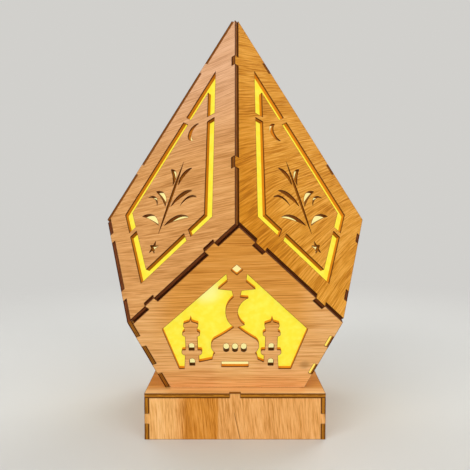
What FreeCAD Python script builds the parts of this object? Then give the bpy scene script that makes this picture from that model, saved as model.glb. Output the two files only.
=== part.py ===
import FreeCAD, Part
import math
import os
import re

import Sketcher
from FreeCAD import Placement, Rotation, Vector

# A table lamp of laser-cut plywood. Four kite panels and four five-sided panels make a hollow crystal,
# which stands on a square box. Translucent sheets close the windows from inside, a post with LED strips
# stands in the middle, and the box holds the cells and the switch.
# The origin is at the middle of the box's foot, +Z is up, and the front faces -Y.

CELLS = 3
FOUR_SIDES = (("front", -90), ("right", 0), ("back", 90), ("left", 180))
# Share of the shorter run that an arc of a lead takes up.
LEAD_BEND = 0.45

# Driving sizes in millimetres and degrees.
SIZES = {
    # plywood and its joints
    "ply": 3.0,
    "fit": 0.1,
    "tab_length": 8.5,
    "upper_tab_inset": 45.5,
    "middle_tab_inset": 21.8,
    "lower_tab_inset": 16.7,
    "foot_tab_length": 12.0,
    "foot_tab_offset": 24.0,
    # corners of the crystal, from the lamp's axis and from the top of the box
    "crystal_height": 265.4,
    "upper_corner_height": 113.5,
    "upper_corner_radius": 97.0,
    "lower_corner_radius": 97.6,
    # panels that the ornaments are drawn for: half width, reach above and below the side corners
    "kite_drawn_half": 68.6,
    "kite_drawn_top": 166.7,
    "kite_drawn_foot": 70.5,
    "shield_drawn_half": 69.0,
    "shield_drawn_top": 70.1,
    "shield_drawn_foot": 53.7,
    # framing slot of a kite panel
    "slot_margin": 18.4,
    "slot_width": 6.8,
    "bridge_width": 4.0,
    "bridge_from_tip": 86.3,
    "bridge_from_side": 33.4,
    # crescent and star of a kite panel
    "moon_height": 68.1,
    "moon_half": 6.6,
    "moon_horn": 2.0,
    "moon_back": 6.0,
    "moon_hollow": 2.2,
    "star_drop": 19.0,
    "star_radius": 4.8,
    "star_notch": 2.0,
    # leaf spray of a kite panel
    "spray_foot": 9.0,
    "spray_top": 45.0,
    "spray_half": 1.3,
    "leaf_gap": 3.0,
    "leaf_belly": 4.4,
    "leaf_hollow": 0.9,
    "low_leaf_root": -3.0,
    "low_leaf_length": 23.0,
    "low_leaf_turn": 16.0,
    "middle_leaf_root": 11.0,
    "middle_leaf_length": 20.0,
    "middle_leaf_turn": 35.0,
    "high_leaf_root": 27.0,
    "high_leaf_length": 15.0,
    "high_leaf_turn": 56.0,
    "tendril_gap": 12.5,
    "tendril_root": 11.5,
    "tendril_length": 15.0,
    "tendril_turn": 24.0,
    "tendril_belly": 4.0,
    "tendril_hollow": 2.6,
    # window of a five-sided panel
    "window_margin": 19.4,
    "window_shoulder_margin": 18.6,
    "window_side_margin": 15.4,
    "window_sill": 37.7,
    # hanger that the finial grows from, a little right of the panel's middle
    "finial_shift": 1.1,
    "hub_top_half": 6.4,
    "hub_waist_half": 5.8,
    "hub_waist_height": 30.6,
    "arm_half": 11.6,
    "arm_height": 25.1,
    "hub_foot_half": 3.1,
    "hub_foot_height": 24.0,
    "neck_half": 2.1,
    "neck_height": 19.1,
    # crescent finial
    "finial_back": 7.2,
    "finial_hollow": 0.7,
    "finial_height": 8.3,
    "horn_reach": 7.3,
    "horn_height": 18.5,
    "low_horn_reach": 5.1,
    "low_horn_drop": 1.9,
    # onion dome
    "dome_tip_half": 1.3,
    "dome_tip_drop": 3.7,
    "dome_sweep": 0.3,
    "dome_shoulder_half": 13.6,
    "dome_shoulder_drop": 13.2,
    "dome_half": 15.8,
    "dome_middle_drop": 18.3,
    "dome_neck_half": 13.2,
    "dome_neck_drop": 24.2,
    "ledge_half": 14.4,
    "ledge_drop": 25.7,
    "plinth_half": 15.2,
    "plinth_drop": 29.8,
    "terrace_drop": 31.9,
    # minarets
    "left_minaret_gap": 4.3,
    "right_minaret_gap": 9.0,
    "spire_height": 3.6,
    "spire_half": 0.8,
    "spire_foot": 0.5,
    "cap_top_half": 4.5,
    "cap_top_drop": 0.9,
    "cap_half": 4.85,
    "cap_drop": 2.5,
    "cap_foot_drop": 4.4,
    "throat_half": 4.1,
    "throat_drop": 7.1,
    "ring_half": 5.8,
    "ring_drop": 9.0,
    "shaft_half": 4.0,
    "shaft_drop": 11.0,
    "balcony_edge_half": 6.1,
    "balcony_drop": 21.9,
    "balcony_half": 6.8,
    "balcony_middle_drop": 23.9,
    "pillar_half": 4.6,
    "pillar_drop": 26.4,
    "pillar_foot_half": 5.4,
    # small windows of the five-sided panel
    "oval_half": 1.8,
    "oval_height": 6.8,
    "oval_pitch": 5.75,
    "oval_drop": 19.9,
    "arch_half": 1.8,
    "arch_height": 5.8,
    "high_arch_drop": 19.2,
    "low_arch_drop": 31.8,
    "slit_half": 9.0,
    "slit_drop": 33.7,
    "slit_height": 4.5,
    "diamond_half": 3.65,
    "diamond_height": 38.9,
    # translucent sheets behind the windows
    "diffuser_thickness": 1.0,
    "diffuser_margin": 11.0,
    # box
    "base_width": 120.0,
    "base_height": 31.0,
    "base_tab_length": 7.0,
    # sliding floor of the box and its rails
    "rail_lift": 1.0,
    "rail_width": 6.0,
    "floor_play": 0.1,
    "floor_headroom": 0.3,
    "floor_side_gap": 0.3,
    "pull_radius": 9.0,
    "pull_depth": 9.0,
    # light post
    "post_width": 12.0,
    "post_height": 150.0,
    "tenon_width": 8.0,
    "strip_width": 8.0,
    "strip_length": 140.0,
    "strip_thickness": 0.4,
    "strip_lift": 6.0,
    "chip_width": 3.5,
    "chip_length": 2.8,
    "chip_thickness": 0.9,
    "chip_pitch": 16.5,
    "feed_width": 30.0,
    "feed_thickness": 1.6,
    "resistor_length": 3.2,
    "resistor_width": 1.6,
    "resistor_thickness": 0.6,
    "resistor_reach": 10.5,
    # cell holder, under the top of the box
    "cell_radius": 7.2,
    "cell_length": 49.5,
    "nub_radius": 2.75,
    "nub_length": 1.0,
    "cell_pitch": 15.0,
    "cell_gap": 0.3,
    "holder_wall": 1.2,
    "holder_floor": 1.5,
    "holder_depth": 15.0,
    "holder_shift": 18.0,
    "spring_length": 4.5,
    "spring_radius": 4.5,
    "spring_tip_radius": 2.5,
    "contact_thickness": 0.5,
    "contact_width": 8.0,
    "screw_radius": 1.1,
    "screw_head_radius": 2.2,
    "screw_head_thickness": 1.0,
    "screw_bite": 2.4,
    "screw_offset": 14.0,
    # rocker switch in the back of the box
    "switch_width": 13.3,
    "switch_height": 8.6,
    "switch_depth": 11.0,
    "bezel_rim": 0.9,
    "bezel_thickness": 2.0,
    "switch_level": 18.0,
    "switch_side_wall": 0.8,
    "switch_floor": 2.0,
    "rocker_play": 0.15,
    "rocker_cheek": 1.0,
    "pivot_depth": 1.4,
    "pivot_radius": 0.8,
    "pivot_play": 0.05,
    "pivot_bearing": 0.7,
    "rocker_corner_turn": 28.4,
    "rocker_heel_turn": 30.0,
    "rocker_dip": 2.1,
    "rocker_tilt": 10.0,
    "rocker_foot_half": 2.6,
    "rocker_foot_drop": 3.6,
    "blade_width": 3.0,
    "blade_thickness": 0.8,
    "blade_length": 9.0,
    "blade_inside": 1.0,
    "blade_offset": 3.2,
    # leads
    "lead_radius": 0.65,
    "lead_hole_radius": 1.0,
    "lead_hole_back": 12.0,
    "second_hole_offset": 9.5,
    "lug_offset": 20.0,
    "lug_level": 19.0,
}

# Sizes that follow from the driving ones.
LAYOUT = {
    # kite panel: half its width and its reach above and below the line between its side corners
    "kite_radius": "upper_corner_radius * cos(45 deg)",
    "kite_half": "upper_corner_radius * sin(45 deg)",
    "kite_rise": "crystal_height - upper_corner_height",
    "kite_top": "sqrt(kite_radius ^ 2 + kite_rise ^ 2)",
    "lower_corner_height": "crystal_height - lower_corner_radius * kite_rise / kite_radius",
    "kite_fall": "upper_corner_height - lower_corner_height",
    "kite_foot": "sqrt((lower_corner_radius - kite_radius) ^ 2 + kite_fall ^ 2)",
    "kite_lean": "asin(kite_radius / kite_top)",
    "upper_edge": "sqrt(kite_top ^ 2 + kite_half ^ 2)",
    "middle_edge": "sqrt(kite_foot ^ 2 + kite_half ^ 2)",
    "tip_angle": "2 * atan(kite_half / kite_top)",
    "foot_angle": "2 * atan(kite_half / kite_foot)",
    "side_angle": "180 deg - tip_angle / 2 - foot_angle / 2",
    # five-sided panel, from the line between its shoulders
    "shield_half": "lower_corner_radius * sin(45 deg)",
    "shield_radius": "lower_corner_radius * cos(45 deg)",
    "shield_reach": "upper_corner_radius - shield_radius",
    "shield_top": "sqrt(shield_reach ^ 2 + kite_fall ^ 2)",
    "shield_lean": "asin(shield_reach / shield_top)",
    "shield_foot": "lower_corner_height / cos(shield_lean)",
    "shield_sole": "shield_radius - lower_corner_height * tan(shield_lean)",
    "lower_edge": "sqrt((shield_half - shield_sole) ^ 2 + shield_foot ^ 2)",
    "crown_angle": "2 * atan(shield_half / shield_top)",
    "flare_angle": "atan((shield_half - shield_sole) / shield_foot)",
    "sole_angle": "90 deg + flare_angle",
    "shoulder_angle": "180 deg - crown_angle / 2 - flare_angle",
    # sine of the angle between two panels that meet at an edge
    "upper_joint": "sqrt(1 - sin(kite_lean) ^ 4)",
    "lower_joint": "sqrt(1 - sin(shield_lean) ^ 4)",
    "middle_turn": "cos(kite_lean) * cos(shield_lean) * cos(45 deg) - sin(kite_lean) * sin(shield_lean)",
    "middle_joint": "sqrt(1 - middle_turn ^ 2)",
    "sole_tab": "ply / cos(shield_lean)",
    "sole_slot": "ply * tan(shield_lean) + ply * cos(shield_lean)",
    # how far the ornaments are stretched, across a panel and above and below its side corners
    "kite_wide": "kite_half / kite_drawn_half",
    "kite_tall": "kite_top / kite_drawn_top",
    "kite_deep": "kite_foot / kite_drawn_foot",
    "shield_wide": "shield_half / shield_drawn_half",
    "shield_tall": "shield_top / shield_drawn_top",
    "shield_deep": "shield_foot / shield_drawn_foot",
    # corners of the five-sided panel's window
    "window_run": "(window_margin + window_shoulder_margin * cos(shoulder_angle)) / sin(shoulder_angle)",
    "window_shoulder_half":
        "shield_half - window_run * sin(flare_angle) - window_shoulder_margin * cos(flare_angle)",
    "window_shoulder_height": "window_shoulder_margin * sin(flare_angle) - window_run * cos(flare_angle)",
    "window_sill_drop": "window_sill * shield_deep",
    "window_sill_half":
        "shield_half - window_side_margin / cos(flare_angle) - window_sill_drop * tan(flare_angle)",
    "window_crest": "shield_top - window_margin / sin(crown_angle / 2)",
    "left_minaret": "window_sill_half / shield_wide - pillar_half - left_minaret_gap",
    "right_minaret": "window_sill_half / shield_wide - pillar_half - right_minaret_gap",
    # box
    "wall_height": "base_height - ply",
    "room_half": "base_width / 2 - ply",
    "floor_under": "rail_lift + ply + floor_play",
    "floor_top": "floor_under + ply",
    "upper_rail_under": "floor_top + floor_headroom",
    "back_under": "floor_top + floor_headroom",
    # cell holder
    "holder_inside": "cell_length + nub_length + spring_length + 2 * contact_thickness",
    "holder_half": "holder_inside / 2 + holder_wall",
    "bay_half": f"{CELLS} * cell_pitch / 2",
    "cell_level": "wall_height - holder_floor - cell_gap - cell_radius",
    # rocker switch
    "rocker_room": "switch_width / 2 - switch_side_wall",
    "rocker_reach": "rocker_room - rocker_play",
    "rocker_room_half": "switch_height / 2 - rocker_cheek",
    "rocker_half": "rocker_room_half - rocker_play",
    "pivot_back": "base_width / 2 + bezel_thickness - pivot_depth",
    "pivot_half": "rocker_room_half + pivot_bearing",
}

WORD = re.compile(r"[A-Za-z_]\w*")
doc = FreeCAD.newDocument("lamp")
nodes = []


def formula(text):
    """Point each size that a formula names at the sheet that holds it."""
    def owner(match):
        word = match.group(0)
        if word in SIZES:
            return "sizes." + word
        if word in LAYOUT:
            return "layout." + word
        return word
    return WORD.sub(owner, text)


def make_sheets():
    sizes = doc.addObject("Spreadsheet::Sheet", "sizes")
    for row, (name, size) in enumerate(SIZES.items(), start=1):
        sizes.set(f"A{row}", name)
        sizes.set(f"B{row}", str(size))
        sizes.setAlias(f"B{row}", name)
    doc.recompute()
    layout = doc.addObject("Spreadsheet::Sheet", "layout")
    for row, (name, text) in enumerate(LAYOUT.items(), start=1):
        layout.set(f"A{row}", name)
        layout.set(f"B{row}", "=" + formula(text).replace("layout.", ""))
        layout.setAlias(f"B{row}", name)
    doc.recompute()
    return sizes


sheet = make_sheets()


def value(text):
    """The number that a formula gives now."""
    result = sheet.evalExpression(formula(text))
    return float(getattr(result, "Value", result))


def point(x, y, z):
    return Vector(value(x), value(y), value(z))


def bind(thing, **formulas):
    for name, text in formulas.items():
        thing.setExpression(name, formula(text))


def keep(thing, label):
    """Count an object as a piece of the lamp."""
    thing.Label = label
    nodes.append(thing)
    return thing


# Sketches: a path is a list of steps, and a step is the start of a straight run (x, y) or of an arc
# (x, y, via_x, via_y), all formulas. A path closes on its first step.

def arc_through(start, via, end):
    """A counter-clockwise arc, and which of its ends is the start."""
    circle = Part.Circle(start, via, end)
    left_turn = (via - start).cross(end - via).z > 0
    first, last = (start, end) if left_turn else (end, start)
    from_turn = math.atan2(first.y - circle.Center.y, first.x - circle.Center.x)
    to_turn = math.atan2(last.y - circle.Center.y, last.x - circle.Center.x)
    if to_turn <= from_turn:
        to_turn += 2 * math.pi
    arc = Part.ArcOfCircle(Part.Circle(circle.Center, Vector(0, 0, 1), circle.Radius), from_turn, to_turn)
    return arc, ((1, 2) if left_turn else (2, 1))


def new_sketch(body, name):
    sketch = body.newObject("Sketcher::SketchObject", name)
    ground = next(f for f in body.Origin.OriginFeatures if f.Role == "XY_Plane")
    sketch.AttachmentSupport = [(ground, "")]
    sketch.MapMode = "FlatFace"
    return sketch


def draw(body, name, paths, circles=()):
    """A sketch of closed paths and of circles (x, y, radius), each bound to the sheet."""
    sketch = new_sketch(body, name)
    constraints = []
    bindings = []

    def hold(kind, text, *where):
        bindings.append((len(constraints), formula(text)))
        constraints.append(Sketcher.Constraint(kind, *where, value(text)))

    def hold_point(x, y, geometry, end):
        hold("DistanceX", x, -1, 1, geometry, end)
        hold("DistanceY", y, -1, 1, geometry, end)

    for path in paths:
        places = [point(step[0], step[1], "0") for step in path]
        runs = []
        for i, step in enumerate(path):
            start, end = places[i], places[(i + 1) % len(path)]
            if len(step) == 4:
                curve, ends = arc_through(start, point(step[2], step[3], "0"), end)
            else:
                curve, ends = Part.LineSegment(start, end), (1, 2)
            runs.append((sketch.addGeometry(curve, False), ends))
        for i, step in enumerate(path):
            run, ends = runs[i]
            next_run, next_ends = runs[(i + 1) % len(path)]
            constraints.append(Sketcher.Constraint("Coincident", run, ends[1], next_run, next_ends[0]))
            hold_point(step[0], step[1], run, ends[0])
            if len(step) == 4:
                mark = sketch.addGeometry(Part.Point(point(step[2], step[3], "0")), True)
                hold_point(step[2], step[3], mark, 1)
                constraints.append(Sketcher.Constraint("PointOnObject", mark, 1, run))
    for x, y, radius in circles:
        circle = Part.Circle(point(x, y, "0"), Vector(0, 0, 1), value(radius))
        ring = sketch.addGeometry(circle, False)
        hold_point(x, y, ring, 3)
        hold("Radius", radius, ring)
    sketch.addConstraint(constraints)
    for index, text in bindings:
        sketch.setExpression(f"Constraints[{index}]", text)
    return sketch


def plate(label, outline, thickness, cuts=()):
    """A flat piece: its outer face is on the body's XY plane and its thickness lies below it.

    Each cut is (name, paths, circles) and goes right through.
    """
    body = keep(doc.addObject("PartDesign::Body", label), label)
    pad = body.newObject("PartDesign::Pad", label + "_blank")
    pad.Profile = draw(body, label + "_outline", [outline])
    pad.Reversed = True
    bind(pad, Length=thickness)
    doc.recompute()
    for name, paths, circles in cuts:
        before = body.Shape.Volume
        pocket = body.newObject("PartDesign::Pocket", f"{label}_{name}")
        pocket.Profile = draw(body, f"{label}_{name}_lines", paths, circles)
        pocket.Type = "ThroughAll"
        doc.recompute()
        if not body.Shape.Volume < before:
            raise RuntimeError(f"{label}: the cut {name} removes nothing")
    return body


def same_plate(label, pattern):
    """Another piece of a plate's shape."""
    body = keep(doc.addObject("PartDesign::Body", label), label)
    body.BaseFeature = pattern
    return body


def facing(azimuth, distance, height, lean=0.0):
    """Where a panel stands: local x to its right, y up along it, z out of it.

    The panel faces the azimuth and its local origin is that far from the axis. It leans inwards.
    """
    turn, tilt = math.radians(azimuth), math.radians(lean)
    outward = Vector(math.cos(turn), math.sin(turn), 0)
    right = Vector(-math.sin(turn), math.cos(turn), 0)
    up = Vector(0, 0, math.cos(tilt)) - outward * math.sin(tilt)
    return Placement(outward * distance + Vector(0, 0, height), Rotation(right, up, right.cross(up)))


def shifted(place, x, y, z):
    return place.multiply(Placement(point(x, y, z), Rotation()))


def rectangle(x_from, x_to, y_from, y_to):
    return [(x_from, y_from), (x_to, y_from), (x_to, y_to), (x_from, y_to)]


def block(name, length, width, height, corner=("0", "0", "0")):
    box = doc.addObject("Part::Box", name)
    bind(box, Length=length, Width=width, Height=height)
    box.Placement = Placement(point(*corner), Rotation())
    return box


def rod(name, radius, length, foot, direction):
    cylinder = doc.addObject("Part::Cylinder", name)
    bind(cylinder, Radius=radius, Height=length)
    cylinder.Placement = Placement(point(*foot), Rotation(Vector(0, 0, 1), direction))
    return cylinder


def joined(name, pieces):
    fuse = doc.addObject("Part::MultiFuse", name)
    fuse.Shapes = pieces
    return fuse


def cut_from(name, base, tools):
    cut = doc.addObject("Part::Cut", name)
    cut.Base = base
    cut.Tool = tools[0] if len(tools) == 1 else joined(name + "_tools", tools)
    return cut


def group(label, pieces):
    compound = doc.addObject("Part::Compound", label)
    compound.Links = pieces
    return keep(compound, label)


# Edges of a panel's ideal outline, taken counter-clockwise

class Edge:
    """A straight side: its start, the direction it runs in and the panel's angle at its start."""

    def __init__(self, x, y, run_x, run_y, length, angle):
        self.x, self.y = x, y
        self.run_x, self.run_y = run_x, run_y
        self.length, self.angle = length, angle

    def at(self, along, inward):
        x = f"{self.x} + ({along}) * ({self.run_x}) - ({inward}) * ({self.run_y})"
        y = f"{self.y} + ({along}) * ({self.run_y}) + ({inward}) * ({self.run_x})"
        return x, y

    def corner(self, before, inward):
        """Where lines parallel to the side before and to this one meet, each so far inward."""
        along = f"(({before}) + ({inward}) * cos({self.angle})) / sin({self.angle})"
        return self.at(along, inward)


def toothed(edges, teeth):
    """An outline along the edges. Teeth give each edge's level, its teeth's level, half length, centres."""
    path = []
    for i, edge in enumerate(edges):
        level, tip, half, centres = teeth[i]
        path.append(edge.corner(teeth[i - 1][0], level))
        for centre in centres:
            path.append(edge.at(f"{centre} - ({half})", level))
            path.append(edge.at(f"{centre} - ({half})", tip))
            path.append(edge.at(f"{centre} + ({half})", tip))
            path.append(edge.at(f"{centre} + ({half})", level))
    return path


def inset(edges, margin):
    return [edge.corner(margin, margin) for edge in edges]


def stretched(path, panel):
    """An ornament's path, stretched with the kite or shield panel that it is cut in."""
    def fit(axis, text):
        if axis == "x":
            return f"({text}) * {panel}_wide"
        return f"({text}) * {panel}_tall" if value(text) > 0 else f"({text}) * {panel}_deep"
    return [tuple(fit("xy"[i % 2], text) for i, text in enumerate(step)) for step in path]


def panel_ring(tier, edges, outline, cuts, faces, place):
    """Equal panels round the axis, each with a translucent sheet glued behind it."""
    first = faces[0][0]
    panel = plate(f"{tier}_panel_{first}", outline, "ply", cuts)
    screen = plate(f"{tier}_diffuser_{first}", inset(edges, "diffuser_margin"), "diffuser_thickness")
    pairs = [(panel, screen)]
    for name, azimuth in faces[1:]:
        pairs.append((same_plate(f"{tier}_panel_{name}", panel),
                      same_plate(f"{tier}_diffuser_{name}", screen)))
    for (name, azimuth), (board, backing) in zip(faces, pairs):
        board.Placement = place(azimuth)
        backing.Placement = shifted(board.Placement, "0", "0", "-ply")


def both_ends(edge, offset):
    return [offset, f"({edge.length} - {offset})"]


def tabs(edge, joint, offset):
    """The side that stops at its neighbour's inner face and sends tabs through it."""
    return f"(ply / {joint} + fit)", "0", "tab_length / 2", both_ends(edge, offset)


def notches(edge, joint, offset):
    """The side that runs full length and takes its neighbour's tabs."""
    return "0", f"(ply * {joint} + fit)", "tab_length / 2 + fit", both_ends(edge, offset)


KITE = [
    Edge("kite_half", "0", "-sin(tip_angle / 2)", "cos(tip_angle / 2)", "upper_edge", "side_angle"),
    Edge("0", "kite_top", "-sin(tip_angle / 2)", "-cos(tip_angle / 2)", "upper_edge", "tip_angle"),
    Edge("-kite_half", "0", "sin(foot_angle / 2)", "-cos(foot_angle / 2)", "middle_edge", "side_angle"),
    Edge("0", "-kite_foot", "sin(foot_angle / 2)", "cos(foot_angle / 2)", "middle_edge", "foot_angle"),
]

SHIELD = [
    Edge("shield_half", "0", "-sin(crown_angle / 2)", "cos(crown_angle / 2)", "middle_edge",
         "shoulder_angle"),
    Edge("0", "shield_top", "-sin(crown_angle / 2)", "-cos(crown_angle / 2)", "middle_edge", "crown_angle"),
    Edge("-shield_half", "0", "sin(flare_angle)", "-cos(flare_angle)", "lower_edge", "shoulder_angle"),
    Edge("-shield_sole", "-shield_foot", "1", "0", "2 * shield_sole", "sole_angle"),
    Edge("shield_sole", "-shield_foot", "sin(flare_angle)", "cos(flare_angle)", "lower_edge", "sole_angle"),
]


# Kite panels

def kite_slots():
    """Four pieces of a slot that follows the panel's outline, with a bridge on each side."""
    bridges = [
        "(upper_edge - bridge_from_tip)",
        "bridge_from_tip",
        "bridge_from_side",
        "(middle_edge - bridge_from_side)",
    ]
    outer = "slot_margin"
    inner = "(slot_margin + slot_width)"
    paths = []
    for i, edge in enumerate(KITE):
        before = KITE[i - 1]
        start = f"{bridges[i - 1]} + bridge_width / 2"
        stop = f"{bridges[i]} - bridge_width / 2"
        paths.append([
            before.at(start, outer),
            edge.corner(outer, outer),
            edge.at(stop, outer),
            edge.at(stop, inner),
            edge.corner(inner, inner),
            before.at(start, inner),
        ])
    return paths


def moon():
    return [
        ("moon_horn", "moon_height + moon_half", "-moon_back", "moon_height"),
        ("moon_horn", "moon_height - moon_half", "-moon_hollow", "moon_height"),
    ]


def star(points=5):
    path = []
    for i in range(2 * points):
        reach = "star_notch" if i % 2 else "star_radius"
        turn = f"{90 + 180 * i / points} deg"
        path.append((f"{reach} * cos({turn})", f"{reach} * sin({turn}) - star_drop"))
    return path


def leaf(side, gap, root, length, turn, belly, hollow):
    """A curved leaf from its root beside the axis to its tip, on the right (side 1) or left (-1)."""
    across = f"cos({turn} * 1 deg)"
    along = f"sin({turn} * 1 deg)"

    def place(share, bulge):
        x = f"{side} * ({gap} + {share} * {length} * {across} - {bulge} * {along})"
        y = f"{root} + {share} * {length} * {along} + {bulge} * {across}"
        return x, y

    return [place(0, 0) + place(0.5, belly), place(1, 0) + place(0.5, hollow)]


def leaf_spray():
    middle = "(spray_top - spray_foot) / 2"
    paths = [[
        ("0", "-spray_foot", "spray_half", middle),
        ("0", "spray_top", "-spray_half", middle),
    ]]
    for side in (1, -1):
        for tier in ("low_leaf", "middle_leaf", "high_leaf"):
            paths.append(leaf(side, "leaf_gap", f"{tier}_root", f"{tier}_length", f"{tier}_turn",
                              "leaf_belly", "leaf_hollow"))
        paths.append(leaf(side, "tendril_gap", "tendril_root", "tendril_length", "tendril_turn",
                          "tendril_belly", "tendril_hollow"))
    return paths


def make_kite_panels():
    outline = toothed(KITE, [
        notches(KITE[0], "upper_joint", "upper_tab_inset"),
        tabs(KITE[1], "upper_joint", "upper_tab_inset"),
        tabs(KITE[2], "middle_joint", "middle_tab_inset"),
        notches(KITE[3], "middle_joint", "middle_tab_inset"),
    ])
    cuts = [
        ("slots", kite_slots(), []),
        ("moon_and_star", [stretched(path, "kite") for path in (moon(), star())], []),
        ("spray", [stretched(path, "kite") for path in leaf_spray()], []),
    ]
    panel_ring("upper", KITE, outline, cuts, (
        ("front_right", -45), ("back_right", 45), ("back_left", 135), ("front_left", 225),
    ), lambda azimuth: facing(azimuth, value("kite_radius"), value("base_height + upper_corner_height"),
                              value("kite_lean")))


# Five-sided panels: one side of a minaret from its pillar up, as half widths and heights

MINARET = [
    ("pillar_half", "-pillar_drop", "balcony_half", "-balcony_middle_drop"),
    ("balcony_edge_half", "-balcony_drop"),
    ("shaft_half", "-balcony_drop"),
    ("shaft_half", "-shaft_drop", "ring_half", "-ring_drop"),
    ("throat_half", "-throat_drop"),
    ("throat_half", "-cap_foot_drop", "cap_half", "-cap_drop"),
    ("cap_top_half", "-cap_top_drop"),
    ("spire_half", "spire_foot"),
]


def backwards(steps):
    """The same line run the other way: an arc's via point goes to the arc's other end."""
    behind = steps[-2::-1] + [()]
    return [step[:2] + before[2:] for step, before in zip(reversed(steps), behind)]


def moved(steps, across):
    """Steps with each width put into a pattern, such as 'middle - {}'."""
    return [tuple(text if i % 2 else across.format(f"({text})") for i, text in enumerate(step))
            for step in steps]


def window_half(side):
    """The left (-1) or right (1) part of the window, round the finial, the dome and a minaret.

    Widths count from the panel's middle towards that side.
    """
    minaret = "left_minaret" if side < 0 else "right_minaret"
    shift = f"{side} * finial_shift"
    crown = [
        ("hub_waist_half", "hub_waist_height"),
        ("arm_half", "arm_height"),
        ("hub_foot_half", "hub_foot_height"),
    ]
    if side < 0:
        crown.append(("neck_half", "neck_height", "finial_back", "finial_height"))
    else:
        crown.append(("neck_half", "neck_height"))
        crown.append(("horn_reach", "horn_height", "finial_hollow", "finial_height"))
        crown.append(("low_horn_reach", "-low_horn_drop"))
    dome_tip = f"(dome_tip_half + {shift} / 2)"
    dome = [
        (dome_tip, "-dome_tip_drop", f"({dome_tip} + dome_shoulder_half - dome_sweep) / 2",
         "-(dome_tip_drop + dome_shoulder_drop) / 2 - dome_sweep"),
        ("dome_shoulder_half", "-dome_shoulder_drop", "dome_half", "-dome_middle_drop"),
        ("dome_neck_half", "-dome_neck_drop"),
        ("ledge_half", "-ledge_drop"),
        ("plinth_half", "-plinth_drop"),
        (f"{minaret} - pillar_half", "-terrace_drop"),
    ]
    drawing = moved(crown, "{} + " + shift) + dome + moved(MINARET, minaret + " - {}")
    drawing.append((minaret, "spire_height"))
    drawing += moved(backwards(MINARET), minaret + " + {}")

    steps = [(f"(hub_top_half + {shift}) * shield_wide",
              "window_crest - hub_top_half * shield_wide / tan(crown_angle / 2)")]
    steps += stretched(drawing, "shield")
    steps += [
        (f"({minaret} + pillar_foot_half) * shield_wide", "-window_sill_drop"),
        ("window_sill_half", "-window_sill_drop"),
        ("window_shoulder_half", "window_shoulder_height"),
    ]
    return moved(steps, f"{side} * " + "{}")


def oval(x, drop):
    top = "(oval_height / 2)"
    straight = "(oval_height / 2 - oval_half)"
    return [
        (f"{x} + oval_half", f"-{drop} - {straight}"),
        (f"{x} + oval_half", f"-{drop} + {straight}", x, f"-{drop} + {top}"),
        (f"{x} - oval_half", f"-{drop} + {straight}"),
        (f"{x} - oval_half", f"-{drop} - {straight}", x, f"-{drop} - {top}"),
    ]


def arch(x, drop):
    spring = f"-{drop} + arch_height / 2 - arch_half"
    return [
        (f"{x} - arch_half", f"-{drop} - arch_height / 2"),
        (f"{x} + arch_half", f"-{drop} - arch_height / 2"),
        (f"{x} + arch_half", spring, x, f"-{drop} + arch_height / 2"),
        (f"{x} - arch_half", spring),
    ]


def small_windows():
    diamond = [
        ("finial_shift + diamond_half", "diamond_height"),
        ("finial_shift", "diamond_height + diamond_half"),
        ("finial_shift - diamond_half", "diamond_height"),
        ("finial_shift", "diamond_height - diamond_half"),
    ]
    slit = rectangle("-slit_half", "slit_half",
                     "-slit_drop - slit_height / 2", "-slit_drop + slit_height / 2")
    paths = [diamond, slit]
    paths += [oval(f"{i} * oval_pitch", "oval_drop") for i in (-1, 0, 1)]
    for minaret in ("-left_minaret", "right_minaret"):
        paths.append(arch(minaret, "high_arch_drop"))
        paths.append(arch(minaret, "low_arch_drop"))
    return [stretched(path, "shield") for path in paths]


def make_shield_panels():
    sole_tabs = ["(shield_sole - foot_tab_offset)", "(shield_sole + foot_tab_offset)"]
    outline = toothed(SHIELD, [
        notches(SHIELD[0], "middle_joint", "middle_tab_inset"),
        tabs(SHIELD[1], "middle_joint", "middle_tab_inset"),
        tabs(SHIELD[2], "lower_joint", "lower_tab_inset"),
        ("0", "-sole_tab", "foot_tab_length / 2", sole_tabs),
        notches(SHIELD[4], "lower_joint", "lower_tab_inset"),
    ])
    cuts = [
        ("left_window", [window_half(-1)], []),
        ("right_window", [window_half(1)], []),
        ("small_windows", small_windows(), []),
    ]
    panel_ring("lower", SHIELD, outline, cuts, FOUR_SIDES, lambda azimuth: facing(
        azimuth, value("shield_radius"), value("base_height + lower_corner_height"), -value("shield_lean")))


# Box: each wall has a tab in the middle of its upper edge, which goes through the top

TOP_TAB = [
    ("base_tab_length / 2", "wall_height"),
    ("base_tab_length / 2", "base_height"),
    ("-base_tab_length / 2", "base_height"),
    ("-base_tab_length / 2", "wall_height"),
]


def wall_outline(under):
    """A front or back wall: tabs at both ends and on top."""
    level = "wall_height / 2"
    half = "base_tab_length / 2"
    edge = "room_half"
    end = "base_width / 2"
    return [
        (f"-{edge}", under), (edge, under),
        (edge, f"{level} - {half}"), (end, f"{level} - {half}"),
        (end, f"{level} + {half}"), (edge, f"{level} + {half}"),
        (edge, "wall_height"), *TOP_TAB, (f"-{edge}", "wall_height"),
        (f"-{edge}", f"{level} + {half}"), (f"-{end}", f"{level} + {half}"),
        (f"-{end}", f"{level} - {half}"), (f"-{edge}", f"{level} - {half}"),
    ]


def side_outline():
    """A side wall: full length, with a notch at both ends and a tab on top."""
    level = "wall_height / 2"
    gap = "(base_tab_length / 2 + fit)"
    end = "base_width / 2"
    edge = "(room_half - fit)"
    return [
        (f"-{end}", "0"), (end, "0"),
        (end, f"{level} - {gap}"), (edge, f"{level} - {gap}"),
        (edge, f"{level} + {gap}"), (end, f"{level} + {gap}"),
        (end, "wall_height"), *TOP_TAB, (f"-{end}", "wall_height"),
        (f"-{end}", f"{level} + {gap}"), (f"-{edge}", f"{level} + {gap}"),
        (f"-{edge}", f"{level} - {gap}"), (f"-{end}", f"{level} - {gap}"),
    ]


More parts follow.
